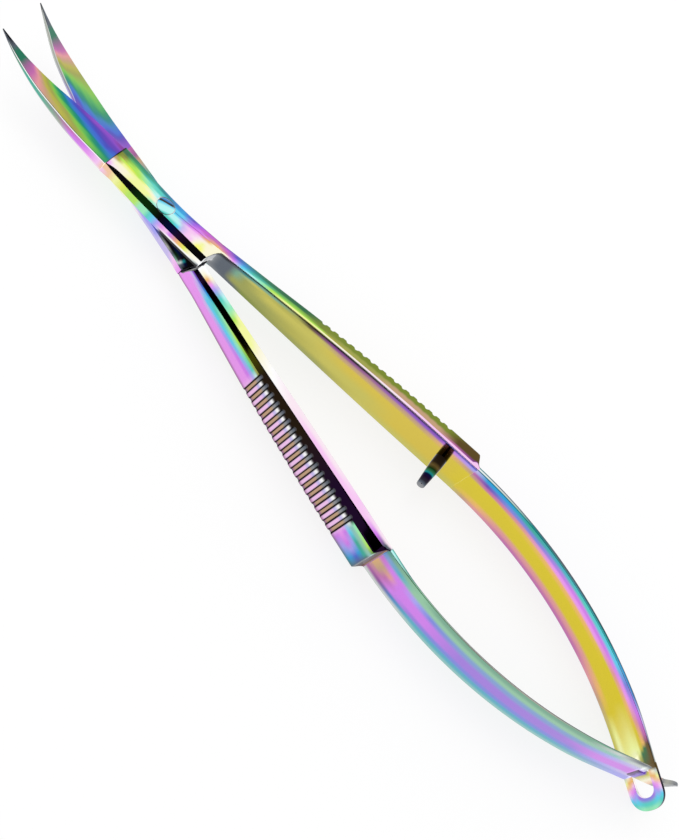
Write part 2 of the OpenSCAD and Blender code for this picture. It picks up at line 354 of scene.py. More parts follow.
def flat_faces(piece):
    """Lets the large faces decide the normals, so that flats stay flat beside rounded edges."""
    mod = piece.modifiers.new("flat faces", "WEIGHTED_NORMAL")
    mod.keep_sharp = True
    return piece


# ---------------------------------------------------------------- shader nodes and groups

def feed(tree, socket, value):
    """Links a socket to another one, or sets it to a number, a colour or a named film colour."""
    if isinstance(value, bpy.types.NodeSocket):
        tree.links.new(value, socket)
    elif value is not None:
        socket.default_value = linear(value) if isinstance(value, str) else value


def add(tree, kind, inputs=None, **traits):
    """A new shader node with its traits set and its inputs fed."""
    node = tree.nodes.new("ShaderNode" + kind)
    for trait, value in traits.items():
        setattr(node, trait, value)
    for key, value in (inputs or {}).items():
        feed(tree, node.inputs[key], value)
    return node


def maths(tree, operation, a, b=None, clamp=False):
    """A Math node's result."""
    return add(tree, "Math", {0: a, 1: b}, operation=operation, use_clamp=clamp).outputs[0]


def mixed(tree, share, first, second):
    """A Mix node's result for two colours."""
    sockets = {"Factor": share, "A": first, "B": second}
    return add(tree, "Mix", sockets, data_type="RGBA").outputs["Result"]


def group(name, inputs, outputs):
    """An empty shader node group with number sockets: its tree, its inputs and its end node."""
    tree = bpy.data.node_groups.new(name, "ShaderNodeTree")
    for label, value in inputs.items():
        socket = tree.interface.new_socket(label, in_out="INPUT", socket_type="NodeSocketFloat")
        socket.default_value = value
    for label in outputs:
        tree.interface.new_socket(label, in_out="OUTPUT", socket_type="NodeSocketFloat")
    return tree, tree.nodes.new("NodeGroupInput").outputs, tree.nodes.new("NodeGroupOutput")


def close_group(tree, end, *results):
    """Links the results to the group's outputs, in order, and gives the group back."""
    for socket, result in zip(end.inputs, results):
        tree.links.new(result, socket)
    return tree


def drift_group():
    """Where the film is read: the piece's own along (mm) and across values, pushed a little by
    slow noise, so that bands of colour waver as they do in a real oxide bath."""
    tree, start, end = group(
        "Film drift", {"Wander along": 0.5, "Wander across": 0.03}, ("Along", "Across", "True along"))
    split = add(tree, "SeparateXYZ", {0: add(tree, "UVMap", uv_map=UV_NAME).outputs[0]})
    place = add(tree, "TexCoord").outputs["Object"]
    noise = add(tree, "TexNoise", {"Scale": 190, "Detail": 1.5, "Vector": place})
    parts = add(tree, "SeparateColor", {0: noise.outputs["Color"]})
    true_along = maths(tree, "MULTIPLY", split.outputs[0], 1 / ALONG_SCALE)
    drifted = []
    for i, plain in enumerate((true_along, split.outputs[1])):
        push = maths(tree, "MULTIPLY", maths(tree, "SUBTRACT", parts.outputs[i], 0.5), start[i])
        drifted.append(maths(tree, "ADD", plain, push))
    return close_group(tree, end, *drifted, true_along)


def polish_group():
    """The polish under the film: fine lines left by the wheel along the piece, as a height, and
    a roughness that is a little higher where the buffing was lighter."""
    tree, start, end = group("Wheel polish", {"Roughness": 0.12}, ("Roughness", "Height"))
    place = add(tree, "TexCoord").outputs["Object"]
    stretch = add(tree, "Mapping", {"Scale": (0.05, 1, 1), "Vector": place})
    lines = add(tree, "TexNoise", {"Scale": 9000, "Detail": 3, "Vector": stretch.outputs[0]})
    clouds = add(tree, "TexNoise", {"Scale": 420, "Vector": place})
    swing = maths(tree, "MULTIPLY", maths(tree, "SUBTRACT", clouds.outputs[0], 0.5), 0.12)
    return close_group(tree, end, maths(tree, "ADD", start[0], swing, clamp=True), lines.outputs[0])


def groove_group():
    """Finger grooves along a piece: 1 on their floors, and 1 on the lines of painted shade beside
    them, from the distance to the nearest of `Count` grooves that lie `Pitch` apart from `First` on."""
    tree, start, end = group(
        "Finger grooves",
        {"Along": 0.0, "First": 0.0, "Pitch": 1.0, "Count": 16.0, "Half": 0.4, "Line": 0.1},
        ("Floor", "Line"))
    along, first, pitch, count, half, line = start[:6]
    place = maths(tree, "DIVIDE", maths(tree, "SUBTRACT", along, first), pitch)
    nearest = maths(tree, "MAXIMUM", maths(tree, "ROUND", place), 0.0)
    nearest = maths(tree, "MINIMUM", nearest, maths(tree, "SUBTRACT", count, 1.0))
    off = maths(tree, "MULTIPLY", maths(tree, "ABSOLUTE", maths(tree, "SUBTRACT", place, nearest)), pitch)
    inside = maths(tree, "SUBTRACT", half, off)
    floor = maths(tree, "DIVIDE", inside, maths(tree, "MULTIPLY", line, 0.5), clamp=True)
    beside = maths(tree, "ABSOLUTE", maths(tree, "SUBTRACT", off, half))
    edge = maths(tree, "SUBTRACT", 1.4, maths(tree, "DIVIDE", beside, line), clamp=True)
    return close_group(tree, end, floor, edge)


def shared(tree, name, build, inputs=None):
    """A node of a group that all finishes share, built when it is first asked for."""
    node = add(tree, "Group", node_tree=bpy.data.node_groups.get(name) or build())
    for key, value in (inputs or {}).items():
        feed(tree, node.inputs[key], value)
    return node


def ramp_along(tree, along, stops, shade):
    """A ramp read at `along`, with a stop for each (place in mm, colour); shade gives its colour."""
    first = stops[0][0]
    last = stops[-1][0] if len(stops) > 1 else first + 1
    reach = add(tree, "MapRange", {"From Min": first, "From Max": last, "Value": along})
    ramp = add(tree, "ValToRGB", {0: reach.outputs[0]})
    band = ramp.color_ramp
    for i, (x, colour) in enumerate(stops):
        place = (x - first) / (last - first)
        stop = band.elements[i] if i < 2 else band.elements.new(place)
        stop.position = place
        stop.color = shade(colour)
    if len(stops) == 1:
        band.elements[1].color = shade(stops[0][1])
    return ramp.outputs[0]


def blend_lanes(tree, along, across, lanes, shade):
    """Ramps along the piece, one per lane, each blended smoothly into the next across it."""
    before, stops = lanes[0]
    colour = ramp_along(tree, along, stops, shade)
    for place, stops in lanes[1:]:
        share = add(tree, "MapRange", {"From Min": before, "From Max": place, "Value": across},
                    interpolation_type="SMOOTHSTEP")
        colour = mixed(tree, share.outputs[0], colour, ramp_along(tree, along, stops, shade))
        before = place
    return colour


def in_order(tree, along, across, lanes, order):
    """Lanes blended by their colours' places in an order, and the colour at the place found."""
    scale = 1 / (len(order) - 1)

    def rank(colour):
        value = order.index(colour) * scale
        return (value, value, value, 1.0)

    place = blend_lanes(tree, along, across, lanes, rank)
    return ramp_along(tree, place, [(i * scale, shade) for i, shade in enumerate(order)], linear)


# half width of a groove's floor and of the line of painted shade beside it, in millimetres
GROOVE_FLOOR = 0.29
GROOVE_SHADE_LINE = 0.12


def grooved(tree, colour, drift, floors):
    """The colour with groove floors and their lines of painted shade over it, and the lines' mask."""
    places = groove_places()
    marks = shared(tree, "Finger grooves", groove_group, {
        "First": places[0], "Pitch": places[1] - places[0], "Count": len(places),
        "Half": GROOVE_FLOOR, "Line": GROOVE_SHADE_LINE, "Along": drift.outputs[2]})
    floor = blend_lanes(tree, drift.outputs[0], drift.outputs[1], floors, linear)
    colour = mixed(tree, marks.outputs[0], colour, floor)
    return mixed(tree, marks.outputs[1], colour, "black"), marks.outputs[1]


def film_finish(name, lanes, order=(), grooves=None, pale=0.0, mirrored_dark=False, edge=1.0):
    """Polished steel under an oxide film whose colour is read from lanes. Besides the film's own
    colours, the lanes hold painted highlights, painted shade and painted dark reflections. A lane is
    (across, [(along in mm, colour), ...]): colours run along each lane, and blend from one
    lane to the next. With an order of colours, the lanes blend places in that order instead,
    so a band of one colour can run slantwise. Seen in another face, the piece glows plain white,
    a painted reflection which keeps each face's own colour clean, unless the piece should be
    mirrored dark. `edge` is how bright the film is at a glancing angle. The lines of painted shade
    beside grooves are no metal, so that they stay black from every side."""
    look = bpy.context.scene.snips_finish
    made = bpy.data.materials.new(name)
    made.use_nodes = True
    tree = made.node_tree
    shader = tree.nodes["Principled BSDF"]
    shader.inputs["Metallic"].default_value = 1.0
    shader.inputs["Specular Tint"].default_value = (edge, edge, edge, 1)
    drift = shared(tree, "Film drift", drift_group, {0: look.wander})
    along, across = drift.outputs[:2]
    if order:
        colour = in_order(tree, along, across, lanes, order)
    else:
        colour = blend_lanes(tree, along, across, lanes, linear)
    if pale:
        colour = mixed(tree, pale, colour, "white")
    if grooves:
        colour, line = grooved(tree, colour, drift, grooves)
        tree.links.new(maths(tree, "SUBTRACT", 1.0, line), shader.inputs["Metallic"])
        shader.inputs["Specular IOR Level"].default_value = 0
    # seen in a reflection the piece is a plain white glow, a painted reflection, instead of its own colour
    if not mirrored_dark:
        glossy = add(tree, "LightPath").outputs["Is Glossy Ray"]
        colour = mixed(tree, glossy, colour, "black")
        shader.inputs["Emission Color"].default_value = (1, 1, 1, 1)
        tree.links.new(glossy, shader.inputs["Emission Strength"])
    tree.links.new(colour, shader.inputs["Base Color"])
    polish = shared(tree, "Wheel polish", polish_group, {0: look.roughness})
    tree.links.new(polish.outputs[0], shader.inputs["Roughness"])
    bump = add(tree, "Bump", {"Strength": look.hairline, "Distance": 0.00001, "Height": polish.outputs[1]})
    tree.links.new(bump.outputs[0], shader.inputs["Normal"])
    return made


# ---------------------------------------------------------------- outlines, in millimetres

def lap_z(x):
    """Height of the face where the blades meet: level up to 12 mm from the pivot, and then an
    arc of the sweep's radius that climbs to the tip."""
    shape = bpy.context.scene.snips_shape
    r = shape.sweep_radius / MM
    past = np.minimum(0, x + shape.sweep_start / MM)
    return LAP_Z + r - np.sqrt(r * r - past * past)


# knots along X of each blade's cutting edge and spine (Y), and of the height of its spine side
FRONT_EDGE = [(TIP_X, -1.5), (-25.1, -0.92), (-21.3, -0.14), (-17.7, 0.73), (-14.3, 1.44), (ROOT_X, 2.05)]
FRONT_SPINE = [(TIP_X, -1.64), (-27, -2.1), (-24.5, -2.43), (-22, -2.65), (-17, -2.77), (ROOT_X, -2.6)]
FRONT_RISE = [(TIP_X, 0.1), (-27, 0.35), (-24.5, 0.65), (-21, 1.07), (-18, 1.45), (-14, 1.75),
              (ROOT_X, 2.2)]
BACK_EDGE = [(TIP_X, 4.76), (-26.1, 3.3), (-23.1, 2.1), (-20.4, 1.36), (-17.7, 0.73), (-13.5, -0.5),
             (ROOT_X, -1.35)]
BACK_SPINE = [(TIP_X, 4.9), (-26, 4.42), (-21.7, 4.1), (-17, 3.8), (-12.8, 3.4), (ROOT_X, 3.05)]
BACK_DROP = [(TIP_X, 0.08), (-26, 0.45), (-21.7, 0.8), (-17, 1.1), (-12.8, 1.35), (ROOT_X, 1.6)]


def front_blade_skin():
    """Front blade: spine side, ground line, hollow top face, cutting edge and lap face, over
    the lap height. The top face sinks by a parabola across it, deepest at mid width."""
    x = np.linspace(TIP_X, ROOT_X, 90)
    edge, spine, rise = (through(x, k) for k in (FRONT_EDGE, FRONT_SPINE, FRONT_RISE))
    base = lap_z(x) + LAP_GAP
    line = np.minimum(0.16, 0.25 * (edge - spine))
    skin = Skin(
        stack((x, spine, base), (x, spine + 0.02, base + rise - line * 0.8), (x, spine + line, base + rise),
              (x, edge, base + 0.1), (x, edge, base)),
        [0.02, 0.06, 0.06, 0.03, 0.01], [0, 0, 10, 0, 0], x)
    top = skin.on_side(2)
    v = np.clip((skin.points[:, top, 1] - (spine + line)[:, None]) / (edge - spine - line)[:, None], 0, 1)
    skin.points[:, top, 2] -= 4 * v * (1 - v) * (0.07 * rise / rise.max())[:, None]
    return skin


def back_blade_skin():
    """Back blade: cutting edge, the ground line beside it, lap face, spine side and underside."""
    x = np.linspace(low("back_blade", 0), ROOT_X, 90)
    edge, spine, drop = (through(x, k) for k in (BACK_EDGE, BACK_SPINE, BACK_DROP))
    top = lap_z(x)
    line = np.minimum(0.42, 0.35 * (spine - edge)) * (1 - ease(x, -19, -13))
    belly = (x, edge + 0.3 * (spine - edge), top - 0.5 * drop - 0.06)
    return Skin(
        stack((x, edge, top - 0.1), (x, edge, top - 0.04), (x, edge + line + 0.02, top),
              (x, spine, top), (x, spine, top - drop), belly),
        [0.01, 0.02, 0.03, 0.06, 0.12, 0.1], [0, 0, 2, 0, 0, 0], x)


def slanted(x, start, end, blend):
    """Stations x slid so that the last one runs from start to end across the section; the slide
    fades out over a length."""
    fade = ease(x, x[-1] - blend, x[-1])
    return x + fade * start, x + fade * end


def front_joint_skin():
    """Front joint half: side band, bevel with a painted dark reflection, flat top, long facet, outer wall,
    lap face.
    """
    x = np.linspace(ROOT_X, SHOULDER_X, 60)
    yl = through(x, [(ROOT_X, -2.62), (-7, -2.34), (-3, -2.1), (1.7, -1.85), (6, -1.4),
                     (SHOULDER_X, -1.15)])
    yt = through(x, [(ROOT_X, -2.58), (-8, -2.28), (-5.3, -1.82), (-1.8, -1.43), (1.9, -1.1),
                     (SHOULDER_X, -0.5)])
    bevel = [(ROOT_X, 0.04), (-8, 0.36), (-7, 0.66), (-5, 0.88), (0, 0.72), (SHOULDER_X, 0.62)]
    zb = TOP_Z - through(x, bevel)
    yr = through(x, [(ROOT_X, -0.35), (0, 0.08), (SHOULDER_X, 1.6)])
    yp = through(x, [(ROOT_X, 1.7), (0, 1.97), (2.6, 2.15), (SHOULDER_X, 2.95)])
    base = LAP_Z + LAP_GAP
    facet = bpy.context.scene.snips_shape.facet_slope
    root = 1 - ease(x, ROOT_X, ROOT_X + 1.2)
    back, on = x + 0.08 * root, x - 0.1 * root
    roll = 0.35 + 0.5 * (1 - ease(x, -4, 3))
    return Skin(
        stack((x, yl, base), (back, yl, zb), (back, yt, TOP_Z), (x + 0.02 * root, yr, TOP_Z),
              (on, yp, TOP_Z - facet * (yp - yr)), (on, yp, base)),
        np.column_stack([np.broadcast_to(r, x.shape) for r in (0.02, 0.08, 0.1, roll, 0.15, 0.02)]),
        [0, 0, 2, 3, 0, 0], x)


def back_joint_skin():
    """Back joint half: lower bevel, outer wall, lap face, inner wall, bevel and underside. Its
    shoulder end is slanted, nearer the pivot on the outside."""
    x = np.linspace(ROOT_X, SHOULDER_X, 50)
    yb = through(x, [(ROOT_X, -1.5), (0, -1.9), (2.6, -2.25), (SHOULDER_X, -2.95)])
    yp = through(x, [(ROOT_X, 3.05), (-4.9, 2.72), (0, 2.2), (7, 1.3), (SHOULDER_X, 0.6)])
    outer, inner = slanted(x, -0.9, 0.3, 3)
    return Skin(
        stack((outer, yb + 0.35, 0), (outer, yb, 0.35), (outer, yb, LAP_Z), (inner, yp, LAP_Z),
              (inner, yp, 0.35), (inner, yp - 0.35, 0)),
        [0.08, 0.08, 0.05, 0.05, 0.08, 0.08], [0, 0, 3, 0, 0, 0], x)


# ---------------------------------------------------------------- grips

GRIP_ROOT = 8.1
GRIP_END = 49.0
GROOVE_LAST_X = GRIP_END - 5.1
GRIP_LEAN = math.radians(8.7)
# inner face of a grip: its distance from the middle at the joint, and what it gains to its end
GRIP_GAP = 1.25
GRIP_SPREAD = 6.6
# fillet at a grip's root: how far it reaches to the middle and along the grip
FILLET_DEPTH = 1.7
FILLET_LENGTH = 0.95
# knots of the upper chamfers' width and height along X
FRONT_CHAMFER = [(GRIP_ROOT, 1.35), (12, 1.5), (30, 1.6), (45, 1.8), (49, 2.05)]
FRONT_FALL = [(GRIP_ROOT, 0.88), (16, 0.88), (22, 0.75), (30, 0.55), (49, 0.5)]
BACK_CHAMFER = [(8, 0.5), (12, 0.7), (24, 0.65), (40, 0.85), (45, 1), (49, 1.2)]
BACK_FALL = [(8, 0.3), (18, 0.4), (24, 0.6), (28, 0.75), (49, 0.85)]


def grip_share(x):
    """Share of the grip's length that lies before x."""
    return (x - GRIP_ROOT) / (GRIP_END - GRIP_ROOT)


def grip_gap(x):
    """Inner face of a grip: the root gap growing to the end gap, with a slight outward bow."""
    s = grip_share(x)
    bow = bpy.context.scene.snips_shape.grip_bow / MM
    return GRIP_GAP + GRIP_SPREAD * s + 4 * bow * s * (1 - s)


def grip_inner(x):
    """Inner face of a grip with a quick fillet back to the middle where it leaves the joint."""
    root = np.clip(1 - (x - GRIP_ROOT) / FILLET_LENGTH, 0, 1)
    return grip_gap(x) - FILLET_DEPTH * root ** 2.6


def grip_outer(x):
    """Outer face of a grip at mid width, without grooves: 1.7 mm from the inner one at the joint
    and 2.2 mm at the end."""
    return grip_gap(x) + 1.7 + 0.5 * grip_share(x)


def grip_half_width(x):
    """Half width of a grip in Z: it opens as a sine from the joint's to the spring's."""
    return MID_Z + (GRIP_HALF - MID_Z) * np.sin(math.pi / 2 * np.clip((x - GRIP_ROOT) / 36, 0, 1))


def groove_places():
    """Where the finger grooves lie along X."""
    shape = bpy.context.scene.snips_shape
    pitch = shape.groove_pitch / MM * math.cos(GRIP_LEAN)
    return GROOVE_LAST_X - pitch * np.arange(shape.groove_count)[::-1]


def groove_cut(x):
    """Depth cut below the outer face: inside each groove's circle, its depth less the circle's
    rise from the bottom, r - sqrt(r^2 - dx^2)."""
    shape = bpy.context.scene.snips_shape
    r, d = shape.groove_radius / MM, shape.groove_depth / MM
    dx = np.abs(x[..., None] - groove_places()).min(-1)
    inside = dx < r
    cut = d - (r - np.sqrt(np.where(inside, r * r - dx * dx, 0)))
    return np.where(inside, np.maximum(cut, 0), 0)


def grip_stations():
    """Stations along a grip, close together in the grooves and at the step."""
    shape = bpy.context.scene.snips_shape
    r, d = shape.groove_radius / MM, shape.groove_depth / MM
    half = math.sqrt(r * r - (r - d) ** 2)
    shares = np.array([-1.06, -1, -0.92, -0.75, -0.5, -0.25, 0, 0.25, 0.5, 0.75, 0.92, 1, 1.06])
    grooves = (groove_places()[:, None] + half * shares).ravel()
    root = np.linspace(GRIP_ROOT, 10, 9)
    plain = np.linspace(10.5, grooves[0] - 0.5, 18)
    after = np.linspace(grooves[-1] + 0.3, GRIP_END, 12)
    step = GRIP_END + np.linspace(0.06, 1.2, 14)
    return np.concatenate([root, plain, grooves, after, step])


def grip_skin(chamfer, fall):
    """Front grip: inner face, upper side, upper chamfer, crowned outer face, lower chamfer and
    lower side. chamfer and fall are the knots of the upper chamfer's width and height.
    Past the grip's end the outer side steps down to the spring's thickness along a slanted
    curve. The grooves are cut into whatever stands outside their circles."""
    x = grip_stations()
    yi, yo, h = grip_inner(x), grip_outer(x), grip_half_width(x)
    step = ease(x, GRIP_END - 0.05, GRIP_END + 1.15) ** 0.8
    leaf = yi + leaf_thickness(x)
    yo = yo + (leaf - yo) * step
    h = h + (GRIP_HALF - h) * step
    width = np.minimum(through(x, chamfer), 0.8 * (yo - yi)) * (1 - step) + 0.12 * step
    fall = through(x, fall) * (1 - step) + 0.05 * step
    low_w = 0.6 * (1 - step) + 0.12 * step
    top, bottom = MID_Z + h, MID_Z - h
    skin = Skin(
        stack((x, yi, bottom), (x, yi, top), (x, yo - width, top), (x, yo, top - fall),
              (x, yo, bottom + 0.36 * (1 - step) + 0.05), (x, yo - low_w, bottom)),
        np.column_stack([np.full(len(x), r) for r in (0.22, 0.22, 0.14, 0.12, 0.2, 0.2)]),
        [6, 0, 7, 16, 3, 0], x)
    face = skin.on_side(3)
    v = (skin.points[:, face, 2] - MID_Z) / h[:, None]
    skin.points[:, face, 1] += 0.1 * (1 - v * v) * (1 - step)[:, None] * ease(x, 14, 24)[:, None]
    cut = groove_cut(skin.points[..., 0])
    floor = (yo + 0.06)[:, None] - np.where(cut > 0, cut + 0.03, -9)
    skin.points[..., 1] = np.minimum(skin.points[..., 1], floor)
    skin.measure()
    return skin


def clear_below(skin):
    """Takes the fillet off a grip's inner face below the lap, where the closed halves pass."""
    x, y, z = np.moveaxis(skin.points, -1, 0)
    below = 1 - ease(z, LAP_Z - 0.3, LAP_Z + 0.3)
    skin.points[..., 1] += below * np.clip(grip_gap(x) - y, 0, None)
    return skin


def milled_shoulder(skin):
    """Leans the back grip's shoulder as the round cutter left it, up to 0.5 mm further from the
    pivot at the top and 0.8 mm nearer below the lap, where it meets the joint's slanted end, and
    takes the fillet off its inner face, so that the closed halves clear."""
    x, y, z = np.moveaxis(skin.points, -1, 0)
    rise = np.clip((z - LAP_Z) / (TOP_Z - LAP_Z), 0, 1)
    tuck = np.clip(1 - np.abs(np.abs(y) - 1.35) / 1.0, 0, 1)
    shift = -0.05 + 0.17 * ease(rise, 0, 0.15) + 0.38 * rise ** 1.4 - 0.2 * tuck * rise
    shift += (-0.4 + 0.85 * rise ** 1.4 - shift) * ease(np.abs(y), 2.3, 2.7)
    shift += (-0.8 - shift) * (1 - ease(z, LAP_Z - 0.6, LAP_Z - 0.1))
    relief = 0.45 * np.clip(1 - (x - GRIP_ROOT) / 0.7, 0, 1) ** 2
    skin.points[..., 1] = np.maximum(y, np.minimum(y + 2.15, grip_gap(x) + relief))
    skin.points[..., 0] += shift * (1 - ease(x, GRIP_ROOT, 11))
    return skin


# ---------------------------------------------------------------- springs

LEAF_R = 66.0
LEAF_A0 = math.radians(9)
LEAF_A1 = math.radians(26.5)
LEAF_T = 0.55
# how far along its bow a leaf starts, level with the grip's end
LEAF_LEAD = 1.17
EYE_T = 0.32
# the tongue: where its point lies past the crossing, and how far it turns up
TONGUE_TIP = 4.1
TONGUE_LIFT = 2.0


def leaf_thickness(x):
    """Thickness of a spring leaf: stout where it leaves the grip, and thinning towards its end."""
    return LEAF_T - 0.06 + 0.1 * (1 - ease(x, 48, 62)) - 0.17 * ease(x, 84, 92)


def leaf_frame():
    """Centre of the bow, the crossing of the leaves, and the straight end's length."""
    x0 = GRIP_END - LEAF_T / 2 * math.sin(LEAF_A0)
    y0 = GRIP_GAP + GRIP_SPREAD + LEAF_T / 2 * math.cos(LEAF_A0)
    bow = (x0 + LEAF_R * math.sin(LEAF_A0), y0 - LEAF_R * math.cos(LEAF_A0))
    tail = (y0 - LEAF_R * (math.cos(LEAF_A0) - math.cos(LEAF_A1))) / math.sin(LEAF_A1)
    cross = x0 + LEAF_R * (math.sin(LEAF_A0) + math.sin(LEAF_A1)) + tail * math.cos(LEAF_A1)
    return bow, cross, tail


def leaf_line(s):
    """Centre line and outward normal of the leaf at distance s from the crossing, negative
    towards the grip: the straight end, and before it the arc of the bow."""
    bow, _, tail = leaf_frame()
    past = np.minimum(0, s + tail)
    a = LEAF_A1 + past / LEAF_R
    straight = np.maximum(s, -tail)
    x = bow[0] + LEAF_R * np.sin(a) + (straight + tail) * math.cos(LEAF_A1)
    y = bow[1] + LEAF_R * np.cos(a) - (straight + tail) * math.sin(LEAF_A1)
    return x, y, np.sin(a), np.cos(a)


def leaf_skin(end_out, end_in, relief=0.0, lean=0.0):
    """Spring leaf from the grip to near the crossing: inner face, upper edge, outer face and
    lower edge. Its end is cut from end_out on the outer face to end_in on the inner one. The
    thickness is added outside the inner face, which keeps the bow of the CAD leaf but for the
    relief, ground off it. The end's upper corner is cut back by the lean."""
    tail = leaf_frame()[2]
    start = -tail - LEAF_R * (LEAF_A1 + LEAF_A0) + LEAF_LEAD
    s = np.concatenate([np.linspace(start, -8, 90), np.linspace(-7.6, min(end_out, end_in), 12)])
    slide = ease(s, s[-1] - 1.5, s[-1])
    so, si = s + slide * (end_out - s[-1]), s + slide * (end_in - s[-1])
    xi, yi, nx, ny = leaf_line(si)
    xo, yo, mx, my = leaf_line(so)
    t = leaf_thickness(xi)
    h = GRIP_HALF - 0.02
    under = LEAF_T / 2 - relief * ease(xi, 50, 56)
    inner = (xi - nx * under, yi - ny * under)
    outer = (xo + mx * (t - LEAF_T / 2), yo + my * (t - LEAF_T / 2))
    skin = Skin(
        stack((*inner, MID_Z - h), (*inner, MID_Z + h), (*outer, MID_Z + h), (*outer, MID_Z - h)),
        [0.12, 0.12, 0.16, 0.16], [9, 0, 9, 0], xi)
    rise = np.clip((skin.points[..., 2] - MID_Z) / h, 0, 1)
    back = lean * rise * ease(s, s[-1] - 2, s[-1])[:, None]
    skin.points[..., 0] -= back * math.cos(LEAF_A1)
    skin.points[..., 1] += back * math.sin(LEAF_A1)
    for side, way in ((0, -1), (2, 1)):
        face = skin.on_side(side)
        v = (skin.points[:, face, 2] - MID_Z) / h
        crown = 0.05 * (1 - v * v) * way
        skin.points[:, face, 0] += crown * nx[:, None]
        skin.points[:, face, 1] += crown * ny[:, None]
    return skin


def eye_skin():
    """The eye: a flat U-shaped band. Outer and inner U are matched by angle: arms run straight
    and meet in half an ellipse, and the section between them is a rounded rectangle."""
    share, root = 0.28, -1.02
    bend_t = np.linspace(share + 0.02, 1 - share - 0.02, 41)
    t = np.concatenate([np.linspace(0, share, 8), bend_t, np.linspace(1 - share, 1, 8)])
    turn = np.clip((t - share) / (1 - 2 * share), 0, 1) * math.pi
    arm = np.where(t < share, t / share, np.where(t > 1 - share, (1 - t) / share, 1))

    def u_shape(half, tip, bend, power):
        """One U: arms at +-half, from the root to bend, then a superellipse out to tip."""
        c, q = np.cos(turn), np.sin(turn)
        z = -np.sign(c) * np.abs(c) ** (2 / power) * half
        s = root + arm * (bend - root) + np.abs(q) ** (2 / power) * (tip - bend)
        return s, z

    so, zo = u_shape(half=GRIP_HALF - 0.02, tip=4.5, bend=2.1, power=2.3)
    si, zi = u_shape(half=2.2, tip=2.85, bend=1.6, power=2.2)
    inside, outside = -LEAF_T / 2, EYE_T - LEAF_T / 2
    cross = leaf_frame()[1]
    c, n = math.cos(LEAF_A1), math.sin(LEAF_A1)

    def at(s, z, d):
        return cross + s * c + d * n, -s * n + d * c, MID_Z + z

    along = cross + np.where(arm < 1, so, (so + si) / 2)
    return Skin(stack(at(so, zo, inside), at(so, zo, outside), at(si, zi, outside), at(si, zi, inside)),
                [0.08, 0.08, 0.08, 0.08], [0, 2, 0, 2], along)


def tongue_skin():
    """The tongue: a neck and a pointed hook head on the back leaf's straight end. Half widths
    follow a cubic through its shoulders; the section is a rounded rectangle."""
    s = np.concatenate([np.linspace(-1.4, 2.3, 14), np.linspace(2.4, TONGUE_TIP, 30)])
    w = through(s, [(-1.4, 1.5), (2.2, 1.5), (2.8, 1.4), (3.3, 1.1), (3.7, 0.7), (TONGUE_TIP, 0.04)])
    half = LEAF_T / 2 - 0.01
    cross = leaf_frame()[1]
    c, n = math.cos(LEAF_A1), math.sin(LEAF_A1)
    thin = half * (1 - 0.45 * ease(s, 3.1, TONGUE_TIP))

    def at(z, d):
        return cross + s * c + d * n, -s * n + d * c, MID_Z + z

    lift = TONGUE_LIFT * ease(s, 2.2, TONGUE_TIP)
    return Skin(stack(at(lift - w, -thin), at(lift + w, -thin), at(lift + w, thin), at(lift - w, thin)),
                0.1, [2, 0, 2, 0], cross + s)


# ---------------------------------------------------------------- screw and stop pin

# screw, in millimetres: head and its bore, driver slot, and shank
HEAD_R = 1.21
BORE_R = 1.31
SLOT_HALF = 0.2
SLOT_OFF = 0.5
SLOT_TURN = math.radians(28)
SLOT_Z = TOP_Z - 1
HEAD_Z = TOP_Z - 1.5
SHANK_R = 0.85


def joint_top(x, y):
    """Height of the joint's top at the screw: level, then falling past the ridge."""
    ridge = 0.08 + 0.19 * x
    return TOP_Z - bpy.context.scene.snips_shape.facet_slope * np.maximum(0, y - ridge)


def screw_skins():
    """Two segments of a disc beside the driver slot, ground level with the joint's top, the disc
    under them and the shank. A segment's rows run along the slot: a row at offset t has the
    half length sqrt(r^2 - t^2)."""
    skins = []
    c, n = math.cos(SLOT_TURN), math.sin(SLOT_TURN)
    for t0, t1 in ((-HEAD_R, SLOT_OFF - SLOT_HALF), (SLOT_OFF + SLOT_HALF, HEAD_R)):
        t = t0 + (t1 - t0) * (1 - np.cos(np.linspace(0, math.pi, 34))) / 2
        half = np.sqrt(np.maximum(HEAD_R ** 2 - t * t, 0.003))
        x0, y0 = -half * c - t * n, -half * n + t * c
        x1, y1 = half * c - t * n, half * n + t * c
        foot = SLOT_Z - 0.02
        skin = Skin(stack((x0, y0, foot), (x0, y0, TOP_Z), (x1, y1, TOP_Z), (x1, y1, foot)),
                    0.03, [0, 12, 0, 0], t)
        upper = skin.points[..., 2] > SLOT_Z + 0.5
        x, y = skin.points[..., 0], skin.points[..., 1]
        off = np.hypot(x, y)
        across = y * c - x * n
        worn = 0.05 * np.clip((off - HEAD_R + 0.1) / 0.1, 0, 1) ** 2
        worn += 0.04 * np.clip(1 - (np.abs(across - SLOT_OFF) - SLOT_HALF) / 0.07, 0, 1) ** 2
        skin.points[..., 2] = np.where(upper, joint_top(x, y) + 0.015 - worn, skin.points[..., 2])
        skins.append(skin)
    axis, e1, e2 = (0, 0, 1), (1, 0, 0), (0, 1, 0)
    disc = turned((0, 0, 0), axis, e1, e2, [(HEAD_Z, HEAD_R), (SLOT_Z, HEAD_R)], 64)
    rod = [(-0.03, SHANK_R - 0.12), (-0.015, SHANK_R - 0.03), (0.1, SHANK_R), (HEAD_Z + 0.02, SHANK_R)]
    shank = turned((0, 0, 0), axis, e1, e2, rod)
    return skins + [disc, shank]


# stop pin: where it leaves the grip's inner face, its lean from square across, and its taper
PIN_PLACE = (46.3, 7.43, MID_Z)
PIN_LEAN = math.radians(8.67)
PIN_R = 0.84
PIN_TIP_R = 0.58
PIN_REACH = 4.8


